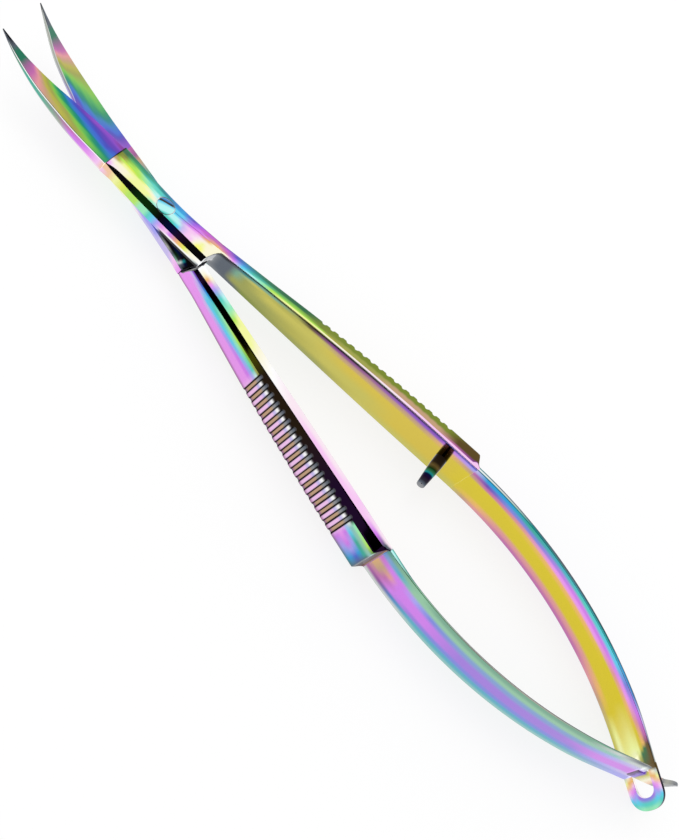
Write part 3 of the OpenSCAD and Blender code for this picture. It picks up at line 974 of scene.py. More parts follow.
def pin_skin():
    """The stop pin: a taper with a rounded tip and a small flat end, standing out of the front
    grip's inner face square to it."""
    c, n = math.cos(PIN_LEAN), math.sin(PIN_LEAN)
    profile = [(-0.9, PIN_R), (0, PIN_R), (1.4, PIN_R - 0.02)]
    profile += [(PIN_REACH - 0.22 + 0.22 * math.sin(b), PIN_TIP_R - 0.2 + 0.2 * math.cos(b))
                for b in np.linspace(0, math.pi / 2, 7)]
    return turned(PIN_PLACE, (n, -c, 0), (0, 0, 1), (c, n, 0), profile)


# ---------------------------------------------------------------- finishes, lanes by side

def bands(text):
    """Colour bands from text such as "8 white, 20 cream": pairs of along (mm) and colour."""
    parts = (part.split(None, 1) for part in text.split(", "))
    return [(float(place), colour) for place, colour in parts]


# the dark line where the blades' root meets the joint
ROOT_SHADOW = "-8.8 black, -8.68 black, "
# the dark tip of a blade, the edge of the step at a grip's end, and the dark root of the eye
BLADE_TIP = "-29.4 black, -28 black, "
STEP_EDGE = " 49.2 slate, 49.4 mist, 49.5 bronze, 50 mauve"
EYE_ROOT = "91 bronze, 92.2 bronze, "

# every finish by name: lanes of (across, bands); the bands hold the film's colours and painted highlights,
# shade and dark reflections
FINISHES = {
    # blades
    # its lowest lane's silver is a painted highlight
    "front spine side": [
        (0.0, "-29.4 slate, -28 slate, -27 silver, -16 silver, -13 blush, -8.8 blush"),
        (0.3, "-29.4 charcoal, -27.5 slate, -25.4 sage, -23 jade, -20.4 jade, -18.4 sage, -16.4 stone,"
              " -14.6 orchid, -13 orchid, -11 rose, -9.6 pink, -8.8 peach"),
        (0.95, "-29.4 charcoal, -27.5 slate, -25.4 emerald, -23 jade, -20 sage, -17.6 grey,"
               " -15 magenta, -12 orchid, -9.6 pink, -8.8 peach"),
    ],
    "ground line": [
        (0.4, "-29.4 grey, -28 slate, -27 silver, -25.5 white, -8.8 white"),
        (1.0, "-29.4 charcoal, -27 slate, -24 stone, -20 grey, -15 bronze, -12 slate, -8.8 slate"),
    ],
    "front blade face": [
        (0.1, "-29.4 slate, -27.3 slate, -26.2 emerald, -25.2 emerald, -24.3 mauve, -23.2 magenta,"
              " -21.6 salmon, -19.8 tan, -17 ochre, -14.4 olive, -12.2 leaf, -10.4 fern, -8.8 green"),
        (0.32, BLADE_TIP + "-26.8 slate, -26.2 emerald, -25.2 emerald, -24.3 mauve, -23.2 magenta,"
                           " -22 salmon, -20.6 tan, -19.2 ochre, -16.6 olive, -15 leaf, -13.2 fern,"
                           " -12.2 green, -11.2 teal, -8.8 azure"),
        (0.52, BLADE_TIP + "-27 slate, -26.2 emerald, -25.3 emerald, -24.4 mauve, -23.3 magenta,"
                           " -22.3 salmon, -21.6 tan, -20.9 ochre, -19.8 olive, -18.5 leaf, -17.2 fern,"
                           " -16 green, -15 teal, -13.5 azure, -12 blue, -10.4 indigo, -8.8 blue"),
        (0.72, BLADE_TIP + "-27 slate, -26.2 emerald, -25.3 emerald, -24.5 mauve, -23.7 magenta,"
                           " -22.9 salmon, -22.3 tan, -21.7 ochre, -21 olive, -20 leaf, -19.3 fern,"
                           " -18.7 green, -18 teal, -17 azure, -15.2 blue, -13 indigo, -11 violet,"
                           " -8.8 violet"),
        (0.93, BLADE_TIP + "-27 slate, -26.2 emerald, -25.2 emerald, -24.4 mauve, -24 magenta,"
                           " -23.5 salmon, -22.9 tan, -22.4 ochre, -21.6 olive, -21 leaf, -20.5 fern,"
                           " -20 green, -19.3 teal, -18.5 azure, -17.9 blue, -17.2 indigo, -16 violet,"
                           " -13.8 purple, -11 purple, -8.8 plum"),
    ],
    "front blade lap": [(0.0, "-29.4 grey, -24 silver, -16 lavender, -8.8 sky")],
    "cutting edge": [(0.0, "-29.4 grey, -24 stone, -20 azure, -17 violet, -8.8 violet")],
    "back blade lap": [
        (0.08, "-29.4 black, -27.4 black, -26.8 slate, -26.1 emerald, -25.2 emerald, -24.4 mauve,"
               " -24 magenta, -23.5 salmon, -23.1 tan, -22.8 ochre, -22.3 olive, -21.4 leaf,"
               " -20.8 fern, -20.4 green, -19.8 teal, -19.2 azure, -18.5 blue, -17.8 indigo,"
               " -17 violet, -15 purple, -8.8 plum"),
        (0.38, "-29.4 black, -28 slate, -26.8 slate, -26.1 emerald, -25.4 emerald, -24.2 mauve,"
               " -23.6 magenta, -23 salmon, -22.3 tan, -21.7 ochre, -21 olive, -20 leaf, -18.8 fern,"
               " -18 green, -17.1 teal, -16.2 azure, -15.2 blue, -14.4 indigo, -13.4 violet,"
               " -11.5 purple, -8.8 plum"),
        (0.64, "-29.4 black, -28 slate, -26.8 slate, -26.1 emerald, -25.3 emerald, -24.1 mauve,"
               " -23.3 magenta, -22.6 salmon, -22 tan, -21.2 ochre, -20.2 olive, -18.6 leaf,"
               " -16.9 fern, -15.6 green, -14.6 teal, -13.6 azure, -12.6 blue, -11.9 indigo,"
               " -11.2 violet, -10.2 purple, -8.8 plum"),
        (0.88, "-29.4 slate, -26.8 slate, -26 emerald, -25.3 emerald, -24.1 mauve, -23.2 magenta,"
               " -22.4 salmon, -21.5 tan, -20.6 ochre, -19.6 olive, -17 leaf, -15 fern, -14 green,"
               " -13 teal, -12 azure, -11 blue, -10.5 indigo, -10 violet, -9 purple, -8.8 purple"),
    ],
    "back blade edge": [
        (0.0, "-29.4 grey, -28.2 silver, -23 silver, -19 lavender, -17 lilac, -8.8 lilac"),
        (0.5, "-29.4 grey, -27 stone, -23 stone, -20 grey, -17 purple, -8.8 mauve"),
        (1.0, "-29.4 grey, -28.2 silver, -23 silver, -19 silver, -17 lilac, -8.8 lilac"),
    ],
    "back blade side": [(0.0, "-29.4 charcoal, -24 green, -18 mauve, -13 purple, -10 lime,"
                              " -8.8 yellow")],
    "back blade under": [
        (0.0, "-29.4 charcoal, -26 teal, -22 mauve, -17 ochre, -12 leaf, -8.8 aqua"),
        (1.0, "-29.4 charcoal, -25 emerald, -21 purple, -16 salmon, -11 ochre, -8.8 lime"),
    ],
    # joint
    # the lowest lane's black past 2 mm is painted shade where the side meets the recess
    "front side band": [
        (0.22, "-8.8 pink, -7.6 peach, -6.6 straw, -5.4 yellow, -4.2 lime, -3 lime, -2.2 mint,"
               " -1.3 mint, -0.7 aqua, 0 cyan, 0.7 lilac, 1.3 lavender, 1.9 charcoal, 2.6 black,"
               " 8.1 black"),
        (0.34, "-8.8 pink, -7.6 peach, -6.6 straw, -5.4 yellow, -4.2 lime, -3 lime, -2.2 mint,"
               " -1.3 mint, -0.7 aqua, 0 cyan, 0.7 lilac, 1.6 pink, 3 white, 6.4 white, 7.4 silver,"
               " 8.1 slate"),
        (0.6, "-8.8 peach, -7.6 peach, -6.6 straw, -5.4 yellow, -4.2 lime, -3 lime, -2.2 mint,"
              " -1.3 mint, -0.7 aqua, 0 cyan, 0.7 lilac, 1.6 rose, 2.4 pink, 3 orchid, 3.8 salmon,"
              " 4.5 orange, 5.4 yellow, 6.4 cream, 8.1 white"),
    ],
    # the bevel's near black is a painted dark reflection, with faint film tints
    "dark bevel": [(0.0, "-8.8 black, -4.6 black, -3 ink green, -1.2 ink green, 0.6 black,"
                         " 2.6 ink blue, 4 ink purple, 5.4 black, 8.1 black")],
    "joint flat": [
        (0.1, ROOT_SHADOW + "-8.6 rose, -7.9 blush, -6.4 cream, -5.2 straw, -2.8 straw, -1.6 mint,"
                            " -0.4 ice, 1 aqua, 2.2 aqua, 3 cyan, 3.6 lavender, 4.4 pink, 5.2 pink,"
                            " 5.7 cream, 6.2 lemon, 6.9 lemon, 7.5 cream, 8.1 cream"),
        (0.45, ROOT_SHADOW + "-8.6 blush, -7.9 cream, -6.4 cream, -4.6 straw, -2.4 straw, -1.4 cream,"
                             " -0.4 ice, 2.8 ice, 3.4 lavender, 4.4 pink, 5.4 blush, 6 cream,"
                             " 6.5 straw, 7.2 cream, 8.1 cream"),
        (0.7, ROOT_SHADOW + "-8.6 tan, -8 ochre, -7.2 straw, -4 straw, -2 cream, -0.6 ice, 2.2 ice,"
                            " 3 lavender, 4 pink, 5 pink, 5.8 blush, 6.6 cream, 8.1 cream"),
        (0.95, ROOT_SHADOW + "-8.6 moss, -7.8 lime, -6.4 yellow, -4.8 lime, -3.4 straw, -1.8 ice,"
                             " 0.4 cyan, 2 cyan, 2.8 lilac, 3.8 orchid, 5 rose, 6 salmon, 6.8 orange,"
                             " 7.5 cream, 8.1 cream"),
    ],
    "joint facet": [
        (0.0, ROOT_SHADOW + "-8.6 moss, -7.8 ochre, -6.8 lime, -5 lime, -3.4 mint, -1.6 ice, 0.6 teal,"
                            " 1.3 slate, 2 azure, 3 slate, 4 plum, 5 plum, 6 magenta, 7 tan,"
                            " 8.1 orange"),
        (0.1, ROOT_SHADOW + "-8.6 moss, -7.8 olive, -6.8 lime, -5 lime, -3.4 mint, -1.6 ice,"
                            " -0.6 cyan, 1.4 cyan, 2.4 cyan, 3.2 lilac, 4.2 orchid, 5.2 orchid, 6 rose,"
                            " 6.8 salmon, 8.1 orange"),
        (0.32, ROOT_SHADOW + "-8.6 moss, -7.8 moss, -7 leaf, -5.6 lime, -4 mint, -2 aqua, -1 aqua,"
                             " 1.4 cyan, 2.4 cyan, 3.2 periwinkle, 4 grape, 5 orchid, 6 magenta,"
                             " 7 salmon, 8.1 salmon"),
        (0.52, ROOT_SHADOW + "-8.6 forest, -8 forest, -7 fern, -6 fern, -4.6 jade, -3 aqua, -1.6 aqua,"
                             " -0.4 sky, 1.6 sky, 2.2 sky, 3 periwinkle, 4 grape, 5 fuchsia,"
                             " 6.2 fuchsia, 7 magenta, 8.1 magenta"),
        (0.74, ROOT_SHADOW + "-8.6 forest, -7.6 forest, -6.2 green, -4.8 green, -3 jade, -1.8 teal,"
                             " -0.6 teal, 0.8 azure, 2 sky, 2.8 blue, 3.6 violet, 4.6 grape,"
                             " 5.6 fuchsia, 6.4 fuchsia, 8.1 magenta"),
        (1.0, ROOT_SHADOW + "-8.6 emerald, -6.4 emerald, -4.6 teal, -2 teal, -0.4 azure, 1.4 sky,"
                            " 2.2 azure, 3 blue, 3.8 indigo, 4.8 purple, 5.8 plum, 8.1 plum"),
    ],
    "joint wall": [(0.0, "-8.8 lime, -5 cyan, -1 cyan, 2 sky, 5 orchid, 8.1 purple")],
    "back joint wall": [
        (0.2, "-8.8 salmon, -7 straw, -5 cream, -3.6 white, -2 blush, -0.5 lavender, 1 lavender,"
              " 3 lavender, 5 lavender, 6.4 pink, 8.1 rose"),
        (0.65, "-8.8 orchid, -6 pink, -4 lavender, -1 lilac, 1.6 lilac, 2.6 lavender, 4.4 lavender,"
               " 5.6 pink, 8.1 rose"),
    ],
    # the recess's black and ink tints are painted shade and dark reflection, the silver and slate near 7 mm
    # a painted highlight on the shoulder's fillet
    "back joint lap": [
        (0.02, "-8.8 magenta, -7.6 mauve, -6.8 tan, -5.8 stone, -5 sage, -4 teal, -2.8 teal, -1 azure,"
               " 1 indigo, 2.4 slate, 4 stone, 5 slate, 6 sage, 6.8 silver, 7.4 slate, 8.1 slate"),
        (0.1, "-8.8 magenta, -7.6 mauve, -6.8 tan, -5 sage, -2.8 teal, -1 emerald, 1 ink green,"
              " 3 black, 4.6 black, 5.6 ink green, 6.4 charcoal, 7 silver, 7.4 slate, 8.1 black"),
        (0.22, "-8.8 magenta, -7.6 mauve, -6.8 tan, -5 sage, -2.8 teal, -1 emerald, 1 ink green,"
               " 3 black, 5 ink blue, 6.6 black, 7.1 teal, 7.5 ink blue, 8.1 black"),
        (0.32, "-8.8 magenta, -7.6 mauve, -6.8 tan, -5.8 stone, -5 sage, -4 teal, -2.8 teal,"
               " -1 emerald, 1 ink green, 2.4 slate, 4 black, 8.1 black"),
    ],
    "back joint inner wall": [(0.0, "-8.8 gold, -6 lime, -3 cyan, -1 sky, 1 purple, 3 rose, 5 gold,"
                                    " 8.1 cream")],
    "underside": [(0.0, "-8.8 lime, -4 aqua, 0 sky, 4 purple, 8.1 gold")],
    # charcoal to slate: painted shade in the gap around the screw's head
    "bore": [(0.0, "0 charcoal, 9 slate")],
    # grips
    # the greys and slates near the joint are a painted reflection of the other half, the black top lane
    # painted shade along the upper edge
    "grip inner face": [
        (0.04, "8 grey, 10.5 slate, 12.4 slate, 14 moss, 20 olive, 27 olive, 30 ochre, 34 sand,"
               " 50 sand"),
        (0.3, "8 grey, 9.6 slate, 10.8 slate, 12 olive, 17 olive, 22 ochre, 27 sand, 34 sand, 39 gold,"
              " 46 gold, 50 amber"),
        (0.7, "8 grey, 9.6 slate, 11 slate, 12 sage, 13.4 olive, 17 sand, 24 sand, 30 gold, 46 gold,"
              " 50 amber"),
        (0.82, "8 grey, 9.6 slate, 11 slate, 12.2 sage, 14.5 sand, 19 ochre, 25 sand, 28.5 tan,"
               " 36 tan, 42 tan, 46 orange, 50 tan"),
        (0.93, "8 slate, 10 charcoal, 11.6 slate, 13 teal, 15.5 sage, 18 sage, 21 olive, 23 bronze,"
               " 27 plum, 33 mauve, 38 purple, 44 purple, 46 orchid, 50 lilac"),
        (1.0, "8 black, 34 black, 40 charcoal, 50 indigo"),
    ],
    "front grip upper side": [
        (0.1, "8 cream, 9.4 cream, 10.6 pink, 12 ice, 14 ice, 16 mint, 18 straw, 20.5 straw,"
              " 22.6 ochre, 25 olive, 28 stone, 32 stone, 35 silver, 38 pink, 49 pink"),
        (0.6, "8 cream, 9.4 cream, 10.6 rose, 12 cyan, 13.5 ice, 15 mint, 16.5 lime, 19 straw,"
              " 23 straw, 26 cream, 32 blush, 36 blush, 43 pink, 49 pink"),
    ],
    "front grip chamfer": [
        (0.0, "8 orange, 9.2 salmon, 10.6 orchid, 12 cyan, 13.5 aqua, 15 mint, 16.5 lime, 20 lime,"
              " 24 lime, 25.5 ochre, 31 olive, 34.5 tan, 43 tan, 46 magenta, 48.6 plum"),
        (0.3, "8 salmon, 9.2 magenta, 10.6 grape, 12 sky, 13.5 jade, 15 jade, 17 fern, 20 leaf,"
              " 24 moss, 28 olive, 33 olive, 36 tan, 43 tan, 46 bronze, 49 bronze"),
        (0.6, "8 magenta, 9.2 fuchsia, 10.6 indigo, 12 azure, 13.5 teal, 15 emerald, 18 forest,"
              " 21 forest, 24 moss, 33 moss, 44 moss, 46 bronze, 49 bronze"),
        (1.0, "8 plum, 9.2 violet, 10.8 indigo, 12 teal, 13.5 emerald, 18 forest, 22 forest, 25 moss,"
              " 34 moss, 44 moss, 47 bronze, 49 bronze"),
    ],
    "grip outer face": [
        (0.03, "7.3 purple, 9 violet, 10.6 blue, 12 sky, 13.4 aqua, 15 mint, 18 lime, 21 leaf,"
               " 23 olive, 24.4 ink brown, 44.4 ink purple, 45 mint, 48 lime, 49.4 forest, 50 slate"),
        (0.15, "7.3 lavender, 9 lavender, 10.6 lilac, 12 cyan, 14 aqua, 19 mint, 22.5 aqua, 24 white,"
               " 34 white, 44 white, 45 foam, 48 reed, 49.2 foam, 49.5 lagoon, 50 azure"),
        (0.3, "7.3 rose, 9 rose, 10.6 lavender, 12.4 cyan, 18 cyan, 22.5 lilac, 24 lavender,"
              " 34 lavender, 44 lavender, 45.4 cyan, 46.8 jade, 48.6 jade," + STEP_EDGE),
        (0.44, "7.3 rose, 11 rose, 13 lavender, 17 lilac, 20 orchid, 22.5 orchid, 24 pink, 44 pink,"
               " 45 orchid, 46.6 lilac, 48 sky," + STEP_EDGE),
        (0.6, "7.3 rose, 22.6 rose, 24 pink, 44 pink, 44.8 rose, 46.4 orchid, 47.2 lilac,"
              " 48.2 blue," + STEP_EDGE),
        (0.82, "7.3 rose, 22.6 rose, 24 pink, 44 pink, 44.8 orchid, 46.4 lilac, 48 sky," + STEP_EDGE),
        (1.0, "7.3 mauve, 22 mauve, 44 mauve, 48 teal, 49.4 slate, 49.7 mauve, 50 mauve"),
    ],
    "front grip outer face": [
        (0.04, "7.3 indigo, 12 teal, 18 forest, 26 moss, 44 bronze, 50 bronze"),
        (0.3, "7.3 purple, 12 azure, 20 green, 30 ochre, 44 tan, 50 violet"),
        (0.6, "7.3 purple, 14 purple, 24 magenta, 34 tan, 44 orange, 50 purple"),
        (1.0, "7.3 violet, 18 purple, 30 orange, 44 gold, 50 blue"),
    ],
    "grip lower side": [(0.0, "8 aqua, 16 leaf, 30 olive, 50 ochre")],
    "back grip upper side": [
        (0.2, "8.3 white, 9.6 white, 10.6 cream, 12 lavender, 13.3 ice, 15 mint, 16.5 straw, 19 straw,"
              " 21 cream, 24 white, 28 blush, 38 blush, 43 pink, 49 blush"),
        (0.75, "8.3 white, 9.4 cream, 10.3 orange, 11.2 rose, 12 lilac, 13.3 aqua, 15 mint, 16.3 lime,"
               " 17.6 straw, 20 straw, 21.5 cream, 25 white, 29 blush, 34 pink, 45 pink, 47.5 orchid,"
               " 49.4 slate"),
    ],
    # the chamfer's ink colours are a painted dark reflection over the film
    "back grip chamfer": [(0.0, "8 ink purple, 10.3 ink purple, 11.8 ink blue, 13.2 ink green,"
                                " 17 ink green, 19 ink olive, 21.4 ink olive, 24 ink brown,"
                                " 32 ink brown, 40 ink purple, 50 ink purple")],
    # near black: painted shade in the notch at the shoulders and on the grip ends
    "back grip ends": [(0.5, "7 ink blue, 9 black, 48 teal, 49.3 stone, 49.5 mauve, 50 tan")],
    # springs
    # near the leaf's end the cream line is a painted highlight on its end bevel, and the dark green to
    # bronze past it a painted dark reflection
    "front spring inner face": [
        (0.04, "50 sand, 52 tan, 54 salmon, 60 magenta, 66 magenta, 76 magenta, 80 salmon, 83 tan,"
               " 87 sand, 92 sand"),
        (0.18, "50 amber, 54 orange, 58 salmon, 66 salmon, 77 salmon, 82 orange, 85 amber, 88 straw,"
               " 92 cream"),
        (0.31, "50 amber, 60 amber, 80 amber, 85 amber, 88 butter, 91 straw, 92 cream"),
        (0.56, "50 amber, 76 amber, 84 amber, 87 butter, 89.6 straw, 91.2 cream, 91.8 fern,"
               " 92.6 bronze"),
        (0.68, "50 amber, 56 amber, 66 orange, 74 orange, 79 amber, 84 amber, 88 butter, 90 straw,"
               " 90.9 olive, 92.4 bronze"),
        (0.77, "50 tan, 53 magenta, 60 salmon, 66 rose, 76 rose, 81 salmon, 85 orange, 88 amber,"
               " 89.8 gold, 90.5 forest, 92.4 bronze"),
        (0.86, "50 magenta, 52.6 violet, 56 periwinkle, 62 periwinkle, 70 orchid, 78 orchid, 84 rose,"
               " 87 salmon, 89.4 orange, 90 forest, 92 bronze"),
        (0.96, "50 lavender, 52 sky, 56 sky, 60 jade, 66 lagoon, 72 aqua, 80 cyan, 82.6 periwinkle,"
               " 86 orchid, 88.6 magenta, 89.6 bronze, 92 bronze"),
    ],
    # the white and silver near the root are a painted highlight on the edge
    "spring edge": [
        (0.1, "50 teal, 55 teal, 57.5 jade, 62 teal, 66 jade, 70 lagoon, 78 aqua, 82 mist, 85 lilac,"
              " 88 orchid, 90 bronze, 92 bronze"),
        (0.45, "50 white, 56 silver, 60 teal, 66 slate, 77 teal, 81 sky, 84 azure, 87 lavender,"
               " 90 slate, 92 stone"),
        (0.85, "50 teal, 54 slate, 66 slate, 76 charcoal, 80 slate, 84 slate, 92 silver"),
    ],
    # the ice near the root is a painted highlight on the edge
    "back spring edge": [
        (0.1, "49.6 teal, 51 jade, 53 teal, 56 slate, 64 slate, 78 charcoal, 91 charcoal"),
        (0.5, "49.6 ice, 51 ice, 54 sage, 57 reed, 66 stone, 78 stone, 86 sage, 91 stone"),
    ],
    "spring lower edge": [(0.0, "50 purple, 70 violet, 92 sky")],
    "spring outer face": [
        (0.04, "49 teal, 52 sage, 57 reed, 60 sage, 66 sage, 84 sage, 88 silver, 90.6 slate"),
        (0.17, "49 azure, 51 mist, 53.4 lagoon, 56 reed, 62 reed, 74 reed, 84 reed, 88 foam,"
               " 90 silver"),
        (0.3, "49 magenta, 52.5 orchid, 54.6 orchid, 57 lilac, 60 periwinkle, 66 mist, 78 mist,"
              " 84 mist, 87 lilac, 91 lavender"),
        (0.46, "49 orange, 51.4 tan, 53 salmon, 54.4 orchid, 57 orchid, 60 orchid, 66 amethyst,"
               " 82 amethyst, 87 orchid, 91 orchid"),
        (0.6, "49 orange, 51.2 tan, 52.6 magenta, 55 orchid, 60 orchid, 66 amethyst, 84 amethyst,"
              " 87 orchid, 91 orchid"),
        (0.72, "49 tan, 52 magenta, 54.4 orchid, 58 amethyst, 62 periwinkle, 70 periwinkle,"
               " 84 periwinkle, 88 lilac, 91 lavender"),
        (0.83, "49 magenta, 52.5 plum, 55 azure, 58.5 lagoon, 66 lagoon, 82 lagoon, 88 mist,"
               " 91 lilac"),
        (0.96, "49 silver, 56 silver, 60 foam, 66 foam, 80 foam, 86 foam, 91 lilac"),
    ],
    "spring inner back face": [
        (0.0, "50 gold, 70 lime, 92 aqua"),
        (1.0, "50 orchid, 70 violet, 92 blue"),
    ],
    "eye rim": [(0.0, "91 bronze, 92.3 bronze, 92.8 cream, 94 blush, 95 silver, 96 blush,"
                      " 96.9 lavender")],
    "eye outer rim": [(0.0, "91 bronze, 92.3 bronze, 93 charcoal, 95 charcoal, 96 slate, 97.2 stone")],
    "eye face": [
        (0.1, EYE_ROOT + "92.6 peach, 93.3 orange, 94 pink, 94.6 orchid, 95.3 lilac, 95.9 amethyst,"
                         " 96.7 periwinkle"),
        (0.5, EYE_ROOT + "92.6 cream, 93.3 orange, 93.9 peach, 94.5 rose, 95.2 lilac, 95.8 cyan,"
                         " 96.5 aqua"),
        (0.9, EYE_ROOT + "92.6 silver, 93.3 straw, 93.9 peach, 94.5 pink, 95.2 cyan, 95.8 aqua,"
                         " 96.4 mint, 97.2 fern"),
    ],
    "tongue face": [(0.0, "91 bronze, 92.2 violet, 92.6 sand, 93.6 cream, 94.4 peach, 94.9 grey,"
                          " 95.4 stone, 96.2 grey, 97.3 slate")],
    # fittings
    # the ice band is a painted highlight on the head
    "screw top": [(0.0, "-1.3 teal, -1.1 aqua, -0.8 ice, -0.2 ice, 0.2 cyan, 0.4 teal, 0.8 azure,"
                        " 1 azure, 1.3 cyan")],
    # black: painted shade in the gap around the head
    "screw side": [(0.0, "0 black, 3 black, 4 charcoal")],
    # dark oxide, with the coloured bands of a painted highlight along the pin
    "stop pin": [(0.0, "-1 black, 1.2 ink brown, 1.7 bronze, 2.2 ink green, 2.6 forest, 2.9 teal,"
                       " 3.1 ink blue, 3.6 ink purple, 4.2 charcoal, 4.6 slate, 4.8 grey")],
}


# the order in which the film's colours follow each other along a blade
BLADE_ORDER = (
    "black", "slate", "emerald", "mauve", "magenta", "salmon", "tan", "ochre", "olive", "leaf", "fern",
    "green", "teal", "azure", "blue", "indigo", "violet", "purple", "plum",
)


# what some finishes need besides their lanes
FINISH_EXTRAS = {
    "front blade face": {"order": BLADE_ORDER},
    "back blade lap": {"order": BLADE_ORDER, "pale": 0.05},
    "stop pin": {"mirrored_dark": True},
    "back grip ends": {"edge": 0.3},
    "grip outer face": {"edge": 0.8, "grooves": [
        (across, bands("0 " + colour))
        for across, colour in (
            (0.0, "charcoal"), (0.1, "slate"), (0.26, "grey"), (0.45, "tan"), (0.86, "tan"), (1.0, "mauve"))
    ]},
}


def finish_for(name):
    """The finish of a kind of side, by its name, made when it is first asked for."""
    made = bpy.data.materials.get(name)
    if made:
        return made
    lanes = [(across, bands(text)) for across, text in FINISHES[name]]
    return film_finish(name, lanes, **FINISH_EXTRAS.get(name, {}))


# ---------------------------------------------------------------- settings

class SnipsShape(PropertyGroup):
    """Sizes that the looks share with the CAD part."""

    sweep_radius: FloatProperty(
        name="Blade sweep", description="Radius of the blades' upward sweep", default=0.052, min=0.04,
        unit="LENGTH")
    sweep_start: FloatProperty(
        name="Sweep start", description="Distance from the pivot where the sweep starts", default=0.012,
        unit="LENGTH")
    facet_slope: FloatProperty(
        name="Joint facet slope", description="Fall of the joint's long facet per unit across",
        default=0.65)
    grip_bow: FloatProperty(
        name="Grip bow", description="Outward bow of a grip at half length", default=0.00018, unit="LENGTH")
    groove_pitch: FloatProperty(
        name="Groove pitch", description="Distance between finger grooves", default=0.00127, unit="LENGTH")
    groove_count: IntProperty(
        name="Grooves", description="Number of finger grooves on each grip", default=17, min=1, max=30)
    groove_radius: FloatProperty(
        name="Groove radius", description="Radius of the cutter that makes a groove", default=0.00036,
        unit="LENGTH")
    groove_depth: FloatProperty(
        name="Groove depth", description="Depth of a groove below the outer face", default=0.00026,
        unit="LENGTH")


class SnipsFinish(PropertyGroup):
    """How the metal and its film look."""

    roughness: FloatProperty(
        name="Roughness", description="Roughness of the polished faces", default=0.1, min=0, max=1,
        subtype="FACTOR")
    hairline: FloatProperty(
        name="Wheel lines", description="Strength of the lines left by the polishing wheel",
        default=0.02, min=0, max=1, subtype="FACTOR")
    wander: FloatProperty(
        name="Film wander", description="How far, in millimetres, the bands of colour waver along a piece",
        default=0.5, min=0, max=3)


class SnipsStage(PropertyGroup):
    """The plain studio around the snips."""

    paper: FloatVectorProperty(
        name="Paper", description="Colour of the floor", default=(0.95, 0.95, 0.95), size=3, min=0, max=1,
        subtype="COLOR")
    card: FloatProperty(
        name="Dark card", description="Radius of the dark card that the bevels reflect",
        default=0.27, min=0, unit="LENGTH")
    lamp: FloatProperty(
        name="Lamp", description="Power of the soft lamp", default=1.2, min=0, unit="POWER")


# ---------------------------------------------------------------- operators

class SNIPS_OT_blades(Operator):
    """Builds both blades, swept upwards and ground to an edge"""

    bl_idname = "snips.blades"
    bl_label = "Blades"

    def execute(self, context):
        front = ("front spine side", "ground line", "front blade face", "cutting edge", "front blade lap")
        flat_faces(make_piece(
            "blade_front", [front_blade_skin()], front, "front_half", ["front_blade"]))
        back = ("back blade edge", "back blade edge", "back blade lap", "back blade side",
                "back blade under", "back blade under")
        flat_faces(make_piece(
            "blade_back", [back_blade_skin()], back, "back_half", ["back_blade"], caps=2))
        return {"FINISHED"}


class SNIPS_OT_joint(Operator):
    """Builds the two lapped halves of the joint, with the bore for the screw's head"""

    bl_idname = "snips.joint"
    bl_label = "Joint"

    def execute(self, context):
        front = ("front side band", "dark bevel", "joint flat", "joint facet", "joint wall",
                 "back joint lap", "bore")
        piece = make_piece(
            "joint_front", [front_joint_skin()], front, "front_half", ["front_joint_half"])
        bore_out(piece)
        flat_faces(piece)
        back = ("underside", "back joint wall", "back joint lap", "back joint inner wall", "underside",
                "underside", "back grip ends")
        # the slanted shoulder end takes the grip ends' near black, painted shade of the notch
        flat_faces(make_piece(
            "joint_back", [back_joint_skin()], back, "back_half", ["back_joint_half"], caps=6))
        return {"FINISHED"}


class SNIPS_OT_grips(Operator):
    """Builds both grips, with their chamfers and finger grooves"""

    bl_idname = "snips.grips"
    bl_label = "Grips"

    def execute(self, context):
        front = ("grip inner face", "front grip upper side", "front grip chamfer",
                 "front grip outer face", "front grip outer face", "grip lower side")
        skin = clear_below(grip_skin(FRONT_CHAMFER, FRONT_FALL))
        flat_faces(make_piece("grip_front", [skin], front, "front_half", ["front_grip"]))
        back = ("grip inner face", "back grip upper side", "back grip chamfer", "grip outer face",
                "grip outer face", "grip lower side", "back grip ends")
        skin = mirrored(milled_shoulder(grip_skin(BACK_CHAMFER, BACK_FALL)))
        # the shoulder and end faces take the grip ends' near black, painted shade
        piece = make_piece("grip_back", [skin], back, "back_half", ["back_grip"], caps=6)
        end_finish(piece, 6, GRIP_END + 0.2)
        flat_faces(piece)
        return {"FINISHED"}


class SNIPS_OT_springs(Operator):
    """Builds the two leaf springs with the eye and the tongue that link them"""

    bl_idname = "snips.springs"
    bl_label = "Springs"

    def execute(self, context):
        front = ("front spring inner face", "spring edge", "spring outer face", "spring lower edge")
        piece = make_piece(
            "spring_front", [leaf_skin(-1.0, -1.0)], front, None, ["front_spring_arm"])
        flat_faces(piece)
        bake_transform(piece)
        back = ("spring inner back face", "back spring edge", "spring outer face", "spring lower edge")
        skin = mirrored(leaf_skin(-0.42, -1.22, 0.18, 0.45))
        piece = make_piece("spring_back", [skin], back, None, ["back_spring_arm"])
        flat_faces(piece)
        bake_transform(piece)
        eye = ("eye outer rim", "eye face", "eye rim", "eye face")
        flat_faces(make_piece(
            "spring_eye", [eye_skin()], eye, "front_spring", ["front_spring_eye"]))
        flat_faces(make_piece(
            "spring_tongue", [mirrored(tongue_skin())], ["tongue face"] * 4, "back_spring",
            ["back_spring_tongue"]))
        return {"FINISHED"}


class SNIPS_OT_fittings(Operator):
    """Builds the slotted pivot screw and the stop pin"""

    bl_idname = "snips.fittings"
    bl_label = "Screw and stop pin"

    def execute(self, context):
        screw = ("screw side", "screw top", "screw side", "screw side")
        flat_faces(make_piece("screw", screw_skins(), screw, "back_half", ["pivot_screw"]))
        make_piece("pin", [pin_skin()], ["stop pin"], "front_half", ["stop_pin"], crisp=50)
        return {"FINISHED"}


